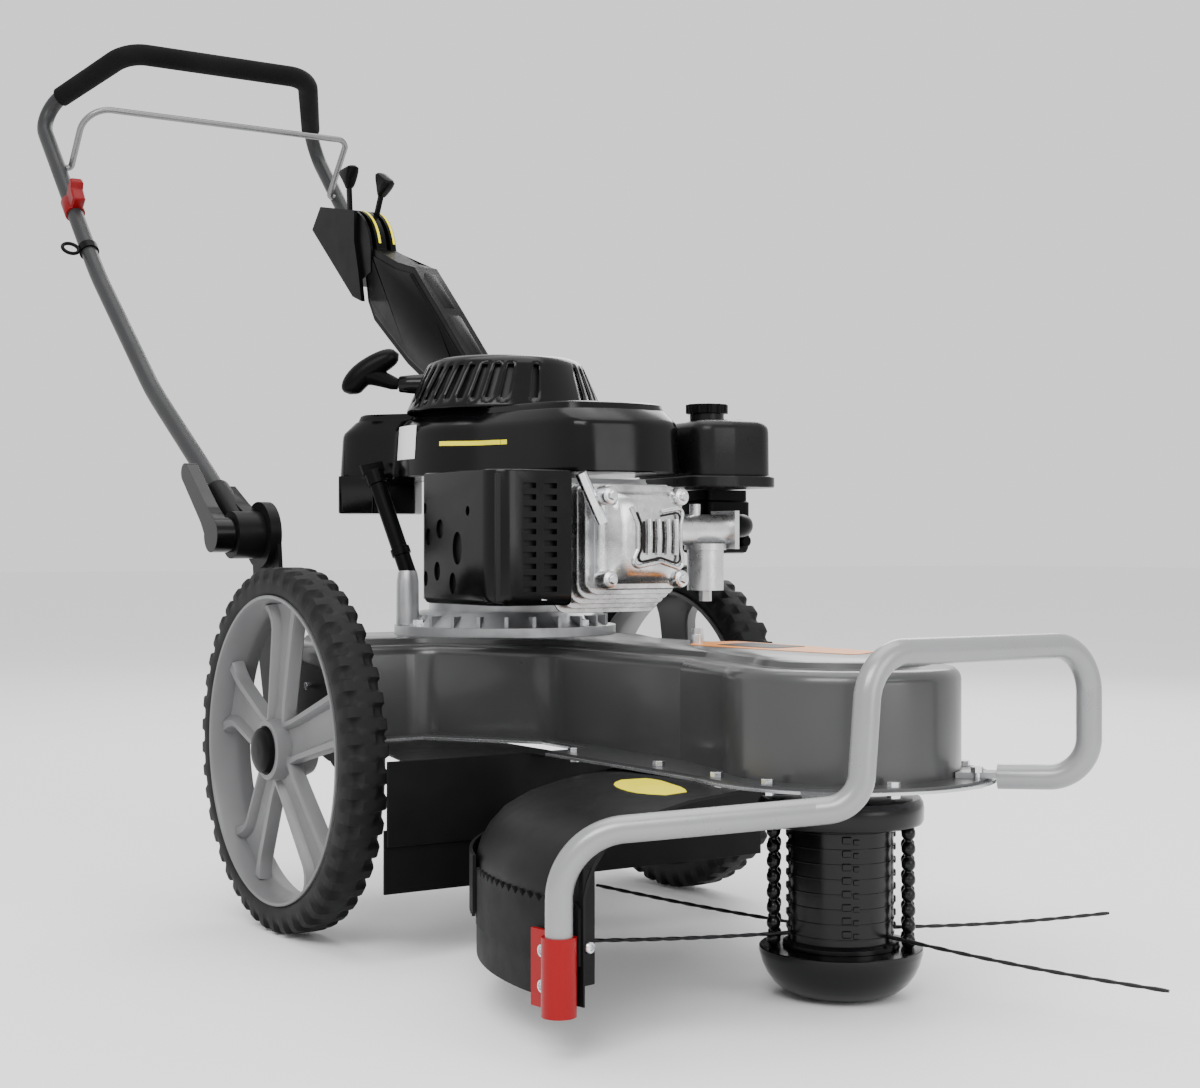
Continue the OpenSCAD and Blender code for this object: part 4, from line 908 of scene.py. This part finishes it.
def tank():
    """Fuel tank with its seam flange and neck."""
    points = [(-500, 116), (-338, 90), (-326, 130), (-322, 176), (-350, 194), (-500, 194)]
    body_loop = rounded_loop(points, [24] * len(points), 8)
    rows = [(1.0, 478), (0.4, 480), (0.8, 520), *quarter(1.0, 12, 539), (18, 540.2), (30, 541.2), (34, 541.4)]
    crowned("fuel_tank_body", body_loop, rows, "tank", stands_for=("fuel_tank",))
    crowned("fuel_tank_flange", inset(body_loop, -5.6),
            [(0.8, 466.4), (0, 467.4), (0, 477), (1.0, 478.2), (3.4, 479)], "tank")
    lathe("fuel_tank_neck", [(15.2, 538), (19, 538), (19, 548.6), (15.2, 548.6)], "tank", at=(-390, 140, 0),
          segments=48, closed=True)


tank()


CYLINDER_Z = 411


def valve_cover():
    """Domed rounded square with raised corner seats, bolts and a ribbed middle."""
    y0, y1 = -50, 54
    z0, z1 = CYLINDER_Z - 54, CYLINDER_Z + 54

    def loop(d, x, r):
        pts = [(y0 + d, z0 + d), (y1 - d, z0 + d), (y1 - d, z1 - d), (y0 + d, z1 - d)]
        return [Vector((x, p.x, p.y)) for p in rounded_loop(pts, [r] * 4, 8)]
    rows = [(0, -326, 13), (0, -320.5, 13), (1.2, -319, 12.5), (6, -318.4, 12), (7.6, -316, 13),
            (9.5, -311, 15), (13, -306.5, 18), (18, -303.6, 20), (24, -302.4, 20)]
    loft("valve_cover_dome", [loop(*row) for row in rows], "cover_casting", stands_for=("valve_cover",))
    seat = [(0, 0), (10, 0), (9.6, 14), (8.6, 17.6), (7, 18.4), (0, 18.4)]
    for a, y in enumerate((-43, 47)):
        for b, z in enumerate((CYLINDER_Z - 43, CYLINDER_Z + 43)):
            lathe(f"valve_cover_seat_{a}{b}", seat, "cover_casting", at=(-326, y, z), axis=(1, 0, 0), segments=36)
            hex_bolt(f"valve_cover_bolt_{a}{b}", (-307.8, y, z), (1, 0, 0), 9, 5.5)
    # the middle is framed by a raised bead, narrower at mid-height, with upright ribs inside
    front = -301.6
    bead = [(-22, 31), (-14, 14), (-14, -12), (-24, -32), (14, -25), (44, -34), (40, -10), (40, 14), (44, 32),
            (15, 27)]
    line = bent_line([(front, y, CYLINDER_Z + z) for y, z in bead], [6] * (len(bead) - 2), 3)
    tube("valve_cover_bead", line, 2.2, "cover_casting", sides=16)
    # a thin dark line just inside the bead, painted shade of a groove
    painted_groove_shade = [(front + 0.6, y * 0.84 + 3.2, CYLINDER_Z + z * 0.84) for y, z in bead]
    tube("valve_cover_groove", bent_line(painted_groove_shade, [5] * (len(bead) - 2), 3), 1.1, "heat_metal", sides=12)
    for k, y in enumerate((0, 12, 24, 34)):
        rib = [(front, y, CYLINDER_Z - 18), (front + 1.2, y, CYLINDER_Z), (front, y, CYLINDER_Z + 19)]
        tube(f"valve_cover_rib_{k}", rib, 3.4, "cover_casting", sides=20)
        # thin dark lines beside the ribs, painted shade of flutes
        painted_flute_shade = [(front, y - 5.8, CYLINDER_Z - 16), (front, y - 5.8, CYLINDER_Z + 17)]
        tube(f"valve_cover_flute_{k}", painted_flute_shade, 1.1, "heat_metal", sides=12)


valve_cover()


def fins():
    """Cooling fins behind the valve cover, each larger than the one in front, with dark plates between them as
    painted shade in the gaps.
    """
    pitch, thick, growth = 9, 2.6, 5
    for i in range(5):
        x = -331 - pitch * i
        grow = 4 + growth * i
        # each fin is followed by a smaller dark plate in the gap behind it, painted shade
        for name, slot, grown, x0, x1, bevel in (
                (f"head_fin_{i}", "cover_casting", grow, x - thick, x, 0.5),
                (f"head_fin_painted_shade_{i}", "dark_print", grow - 6, x - pitch, x - thick, 0.0)):
            y0, z0, z1 = -56 - 0.8 * grown, 356 - grown, 466
            plan = rounded_loop([(y0, z0), (52, z0), (52, z1), (y0, z1)], [16, 8, 8, 8], 6)
            loft(name, [[Vector((at, q.x, q.y)) for q in plan] for at in (x0, x1)], slot, bevel=bevel)


fins()


def air_box():
    """Air cleaner box under the tank, with its knob and the elbow to the carburetor."""
    plan = rounded_loop([(-458, 150), (-402, 150), (-402, 213), (-458, 213)], [9] * 4, 6)
    rows = [(7, 394), (3, 395.4), (1, 399), (0, 404), (0, 452), (3, 454), (3, 465.6)]
    crowned("air_box_body", plan, rows, "matt_black", stands_for=("air_box",))
    tube("air_elbow", bent_line([(-366, 148, 425), (-366, 181, 425), (-410, 181, 425)], [22], 3), 13,
         "matt_black", sides=32, wall=2)
    lathe("air_box_knob", [(0, 0), (6, 0), (7, 1.2), (7, 8), (5.4, 9.6), (0, 10)], "matt_black",
          at=(-403, 199, 408), axis=(1, 0, 0), segments=28)


air_box()

# filler tube: bright boss, black tube and collar
dip_foot, dip_top = Vector((-622, -112, 373)), Vector((-662, -136, 490))
dip_dir = (dip_top - dip_foot).normalized()
lathe("filler_boss", [(7.2, 312.5), (13, 312.5), (12.6, 362), (11.2, 371), (10, 374.5), (7.2, 374.5)], "casting",
      stands_for=("filler_tube",), at=(dip_foot.x, dip_foot.y, 0), segments=40, closed=True)
tube("filler_black_tube", [dip_foot - 4 * dip_dir, dip_foot + 107.8 * dip_dir], 9.4, "matt_black",
     sides=32, wall=2.2)
lathe("filler_collar", [(9, 0), (11.2, 0.6), (11.2, 9), (9, 10)], "matt_black", at=dip_foot + 20 * dip_dir,
      axis=dip_dir, segments=36, closed=True)


def starter():
    """Curved T grip with domed ends on its rope."""
    bar = Vector((0.42, 0.64, 0.64)).normalized()
    centre = ROPE_EXIT + 44 * PULL + Vector((0, 0, 12))
    tube("starter_rope", [ROPE_EXIT - 190 * PULL, ROPE_EXIT + 26 * PULL], 2.4, "line", "starter",
         ("starter_grip",), sides=16)
    line, radii = [], []
    for i in range(33):
        t = -1 + 2 * i / 32
        line.append(centre + bar * 37 * t + PULL * (7 - 13 * t * t))
        radii.append(max(0.5, (14 - 3 * t * t) * sqrt(max(0.0, 1 - abs(t) ** 8))))
    tube("starter_bar", line, radii, "matt_black", "starter", sides=28)
    stem = [ROPE_EXIT + along * PULL + Vector((0, 0, up))
            for along, up in ((9.8, 0), (16, 1.5), (28, 6), (38, 10))]
    tube("starter_stem", [*stem, centre + 3 * PULL], [6.4, 8, 9.6, 11.6, 13.4], "matt_black", "starter", sides=24)


starter()

# bright stay between the guard and the valve cover
tube("guard_stay", [(-325, -69, 477), (-322, -44, 426)], 6.4, "zinc", sides=24)


# ---------- handle ----------

RAIL = [(-748, 434), (-1012, 599), (-1225, 772), (-1490, 1042)]  # (x, z) of the tube's bends, from the foot up
HANDLE_HALF = 220
LEVER_PIVOT = Vector((-1250, 0, 825))


def handle():
    left, right = MID_Y + HANDLE_HALF, MID_Y - HANDLE_HALF
    grip_x, grip_half, grip_z = -1332, 139.5, 1108
    pts = [(x, right, z) for x, z in RAIL]
    pts += [(grip_x, MID_Y - grip_half, grip_z), (grip_x, MID_Y + grip_half, grip_z)]
    pts += [(x, left, z) for x, z in reversed(RAIL)]
    bends = [400, 400, 38, 45]
    tube("handle_rail", bent_line(pts, bends + bends[::-1], 4), 11, "handle_paint", "handle", ("handle_tube",),
         sides=36, wall=2)
    along = (Vector(pts[4]) - Vector(pts[3])).normalized()
    start = Vector(pts[3]) + 50 * along
    end = Vector(pts[6]) + 50 * Vector((along.x, -along.y, along.z))
    foam = bent_line([start, pts[4], pts[5], end], [45, 45], 4)
    tube("foam_sleeve", foam, [14.2] + [15.0] * (len(foam) - 2) + [14.2], "foam", "handle", ("foam_grip",),
         sides=40, wall=3.9)
    half, foot_half = 203, 215
    pivot_x, pivot_z, top_x, top_z = -1390, 945, -1326, 1021
    wire = [(pivot_x, -foot_half, pivot_z), (pivot_x, -half, pivot_z), (top_x, -half, top_z),
            (top_x, half, top_z), (pivot_x, half, pivot_z), (pivot_x, foot_half, pivot_z)]
    wire = bent_line([(x, MID_Y + y, z) for x, y, z in wire], [6, 38, 14, 6], 4)
    tube("bail_wire", wire, 4.5, "wire", "bail", ("bail_rod",), sides=20)


handle()


def lever(name, node, body, near, angle, length):
    """A flat hand lever with a paddle-shaped knob."""
    turn = Matrix.Rotation(-radians(angle), 3, "Y")
    centre = LEVER_PIVOT + Vector((0, near + 3, 0))

    def ring(x, half_y, low, high, r):
        plan = rounded_loop([(-half_y, low), (half_y, low), (half_y, high), (-half_y, high)], [r] * 4, 5)
        return [centre + turn @ Vector((x, c.x, c.y)) for c in plan]
    knob = [(-24, 5, -6, 4, 3), (-19, 7.5, -9, 5, 5), (-11, 9, -15, 10, 7), (-3, 9.6, -20, 17, 8),
            (2.6, 9.2, -22, 21, 8), (5.6, 7, -19, 18, 6.5), (6.8, 3.4, -13, 13, 3.2)]
    loft(name + "_knob", [ring(length + x, *row) for x, *row in knob], "matt_black", body, (node,))
    loft(name + "_stem", [ring(x, 3, -5, 5, 2) for x in (8, length - 22)], "matt_black", body)
    hub = [(0, -3), (10.4, -3), (11, -2.4), (11, 2.4), (10.4, 3), (0, 3)]
    lathe(name + "_hub", hub, "matt_black", body, at=centre, axis=(0, 1, 0), segments=48)


lever("throttle", "throttle_lever", "throttle", 122, 95, 135)
lever("choke", "choke_lever", "choke", 145, 62, 128)


def catch():
    """Red catch for the bail: a clip on the tube with a hooked nose."""
    low, high = (Vector((x, MID_Y - HANDLE_HALF, z)) for x, z in RAIL[2:])
    rail = (high - low).normalized()
    out = Vector((-rail.z, 0, rail.x))
    base = low + rail * 148
    turn = Matrix((rail, (0, 1, 0), out)).transposed()
    clip = [(11.1, -15), (13.4, -15), (14, -14), (14, 14), (13.4, 15), (11.1, 15)]
    lathe("catch_clip", clip, "catch", "handle", ("bail_catch",), at=base, axis=rail, segments=48, closed=True)
    side = [(-15, 10), (15, 10), (19, 24), (19, 38), (9, 38), (4, 30), (-15, 27)]
    loops = []
    for y, d in ((-9, 2), (-7.4, 0.5), (-6, 0), (6, 0), (7.4, 0.5), (9, 2)):
        plan = inset(rounded_loop(side, [3] * len(side), 4), d)
        loops.append([base + turn @ Vector((c.x, y, -c.y)) for c in plan])
    loft("catch_nose", loops, "catch", "handle")


catch()


def cover_panels():
    """Raised panel and ridge on the cable cover, so that its long faces aren't flat."""
    outline = [(-1192, 759), (-1202, 803), (-1174.5, 834), (-1100, 805), (-1050, 792), (-975, 724), (-885, 640),
               (-885, 585), (-960, 600), (-1068, 658), (-1135, 704), (-1172, 730)]
    plan = rounded_loop(outline[::-1], [8] * len(outline), 4)
    loops = [[Vector((c.x, y, c.y)) for c in inset(plan, d)] for d, y in ((9, 122.5), (9.6, 120.4), (12, 119))]
    loft("cable_cover_panel", loops, "matt_black", "handle")
    ridges = (((-1092, 800), (-1052, 790)), ((-1043, 783), (-980, 726)), ((-970, 717), (-893, 645)))
    for n, ends in enumerate(ridges):
        a, b = (Vector((x, 141, z)) for x, z in ends)
        along = (b - a).normalized()
        up = Vector((-along.z, 0, along.x)) * (1 if along.x > 0 else -1)
        loops = []
        for end, rise in ((a, 0), (a + along * 4, 1), (b - along * 4, 1), (b, 0)):
            half = [(10, -1), (10, 0.4 + rise), (7, 1 + 2 * rise)]
            section = [(-w, h) for w, h in half] + half[::-1]
            loops.append([end + Vector((0, w, 0)) + up * h for w, h in section])
        loft(f"cable_cover_ridge_{n}", loops, "matt_black", "handle")


cover_panels()


# ---------- plain labels ----------

def deck_label(name, outline, corner, slot, lift=0.0):
    """A thin printed label lying just above the deck's plateau."""
    plan = rounded_loop(outline, [corner] * len(outline), 3)
    loft(name, [at_z(plan, deck_high.z + lift + rise) for rise in (0.15, 0.5)], slot)


deck_label("deck_label", [(-245, 10), (-130, 18), (-16, 32), (-44, 84), (-180, 96), (-280, 96), (-288, 50)], 8,
           "orange")
deck_label("deck_label_band", [(-226, 30), (-140, 34), (-150, 84), (-244, 86)], 4, "dark_print", 0.4)


def on_shroud(angle, z):
    """Point on the shroud's wall at an angle about the crankshaft."""
    i = round(degrees(angle) / 360 * len(shroud)) % len(shroud)
    r = shroud[i] - 0.4 - 2.6 * max(0.0, (z - SHROUD_Z0 - 6) / 40)
    return Vector((CRANK_X + r * cos(angle), r * sin(angle), z))


def shroud_label(name, start, end, low, high, slot, lean=0.0):
    """A label wrapped on the shroud's wall between two angles in degrees."""
    steps = 14
    loops = []
    for i in range(steps + 1):
        t = i / steps
        a = radians(start + (end - start) * t)
        loops.append([on_shroud(a, z + lean * t) + circle(1, a) * out
                      for z, out in ((low, 0.5), (high, 0.5), (high, 1.1), (low, 1.1))])
    loft(name, loops, slot)


shroud_label("shroud_label_white", -107, -84, 500, 538, "white")
shroud_label("shroud_label_yellow", -66, -30, 513, 518, "yellow", lean=-1)


def skirt_label():
    """A plain yellow label on the skirt's dome."""
    loops = []
    for i in range(9):
        a = radians(-121 + 33 * i / 8)
        edge = 12 * abs(i / 4 - 1) ** 3
        loops.append([circle(r, a, 194.7 - 0.0573 * (r - 140) + lift) for r, lift in
                      ((164 + edge, 0.4), (210 - edge, 0.4), (210 - edge, 1.1), (164 + edge, 1.1))])
    loft("skirt_label", loops, "yellow")


skirt_label()


def lever_arcs():
    """Yellow bands on the console's two quadrants."""
    for n, y in enumerate((132.5, 155.5)):
        loops = []
        for i in range(15):
            a = radians(14 + 62 * i / 14)
            loops.append([LEVER_PIVOT + Vector((r * cos(a), y + w, r * sin(a)))
                          for r, w in ((74.8, 0), (75.7, 0), (75.7, 3.4), (74.8, 3.4))])
        loft(f"lever_arc_{n}", loops, "yellow", "handle")


lever_arcs()


# ---------- stage ----------

def lamp(name, place_at, aim, size, watts):
    data = bpy.data.lights.new(name, "AREA")
    data.shape = "RECTANGLE"
    data.size, data.size_y = size
    data.energy = watts
    light = put(name, data)
    light.location = place_at
    light.rotation_euler = (Vector(aim) - Vector(place_at)).to_track_quat("-Z", "Y").to_euler()


def stage():
    """White surroundings, four area lights and the photograph's camera; sizes are in metres."""
    world = bpy.data.worlds.new("studio")
    bpy.context.scene.world = world
    world.use_nodes = True
    background = world.node_tree.nodes["Background"]
    background.inputs["Color"].default_value = (1, 1, 1, 1)
    background.inputs["Strength"].default_value = 1.15
    mesh = bpy.data.meshes.new("floor")
    half = 30
    mesh.from_pydata([(-half, -half, 0), (half, -half, 0), (half, half, 0), (-half, half, 0)], [], [(0, 1, 2, 3)])
    floor = put("floor", mesh)
    mesh.materials.append(finish("floor_white", (0.93, 0.93, 0.93), 0.8, vary=0.005, patch=1, grain=40, bump=0.0))
    floor.location.z = -0.0015
    floor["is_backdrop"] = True
    lamp("key", (1.6, -2.4, 3.0), (-0.5, -0.1, 0.4), (2.4, 1.6), 110)
    lamp("front", (3.4, 0.6, 1.6), (-0.4, 0, 0.4), (1.8, 2.2), 45)
    lamp("top", (-0.6, 0.2, 3.4), (-0.6, 0, 0.3), (3.0, 2.4), 60)
    lamp("rim", (-2.6, 2.4, 2.2), (-0.6, 0, 0.5), (2.0, 1.6), 45)
    data = bpy.data.cameras.new("camera")
    data.lens = 57.41
    data.sensor_width = 36
    camera = put("camera", data)
    camera.location = (1.3198, -1.1319, 0.4005)
    camera.rotation_euler = (radians(90.111), 0, radians(56.551))
    bpy.context.scene.camera = camera


stage()

bpy.context.view_layer.update()
low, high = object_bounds()
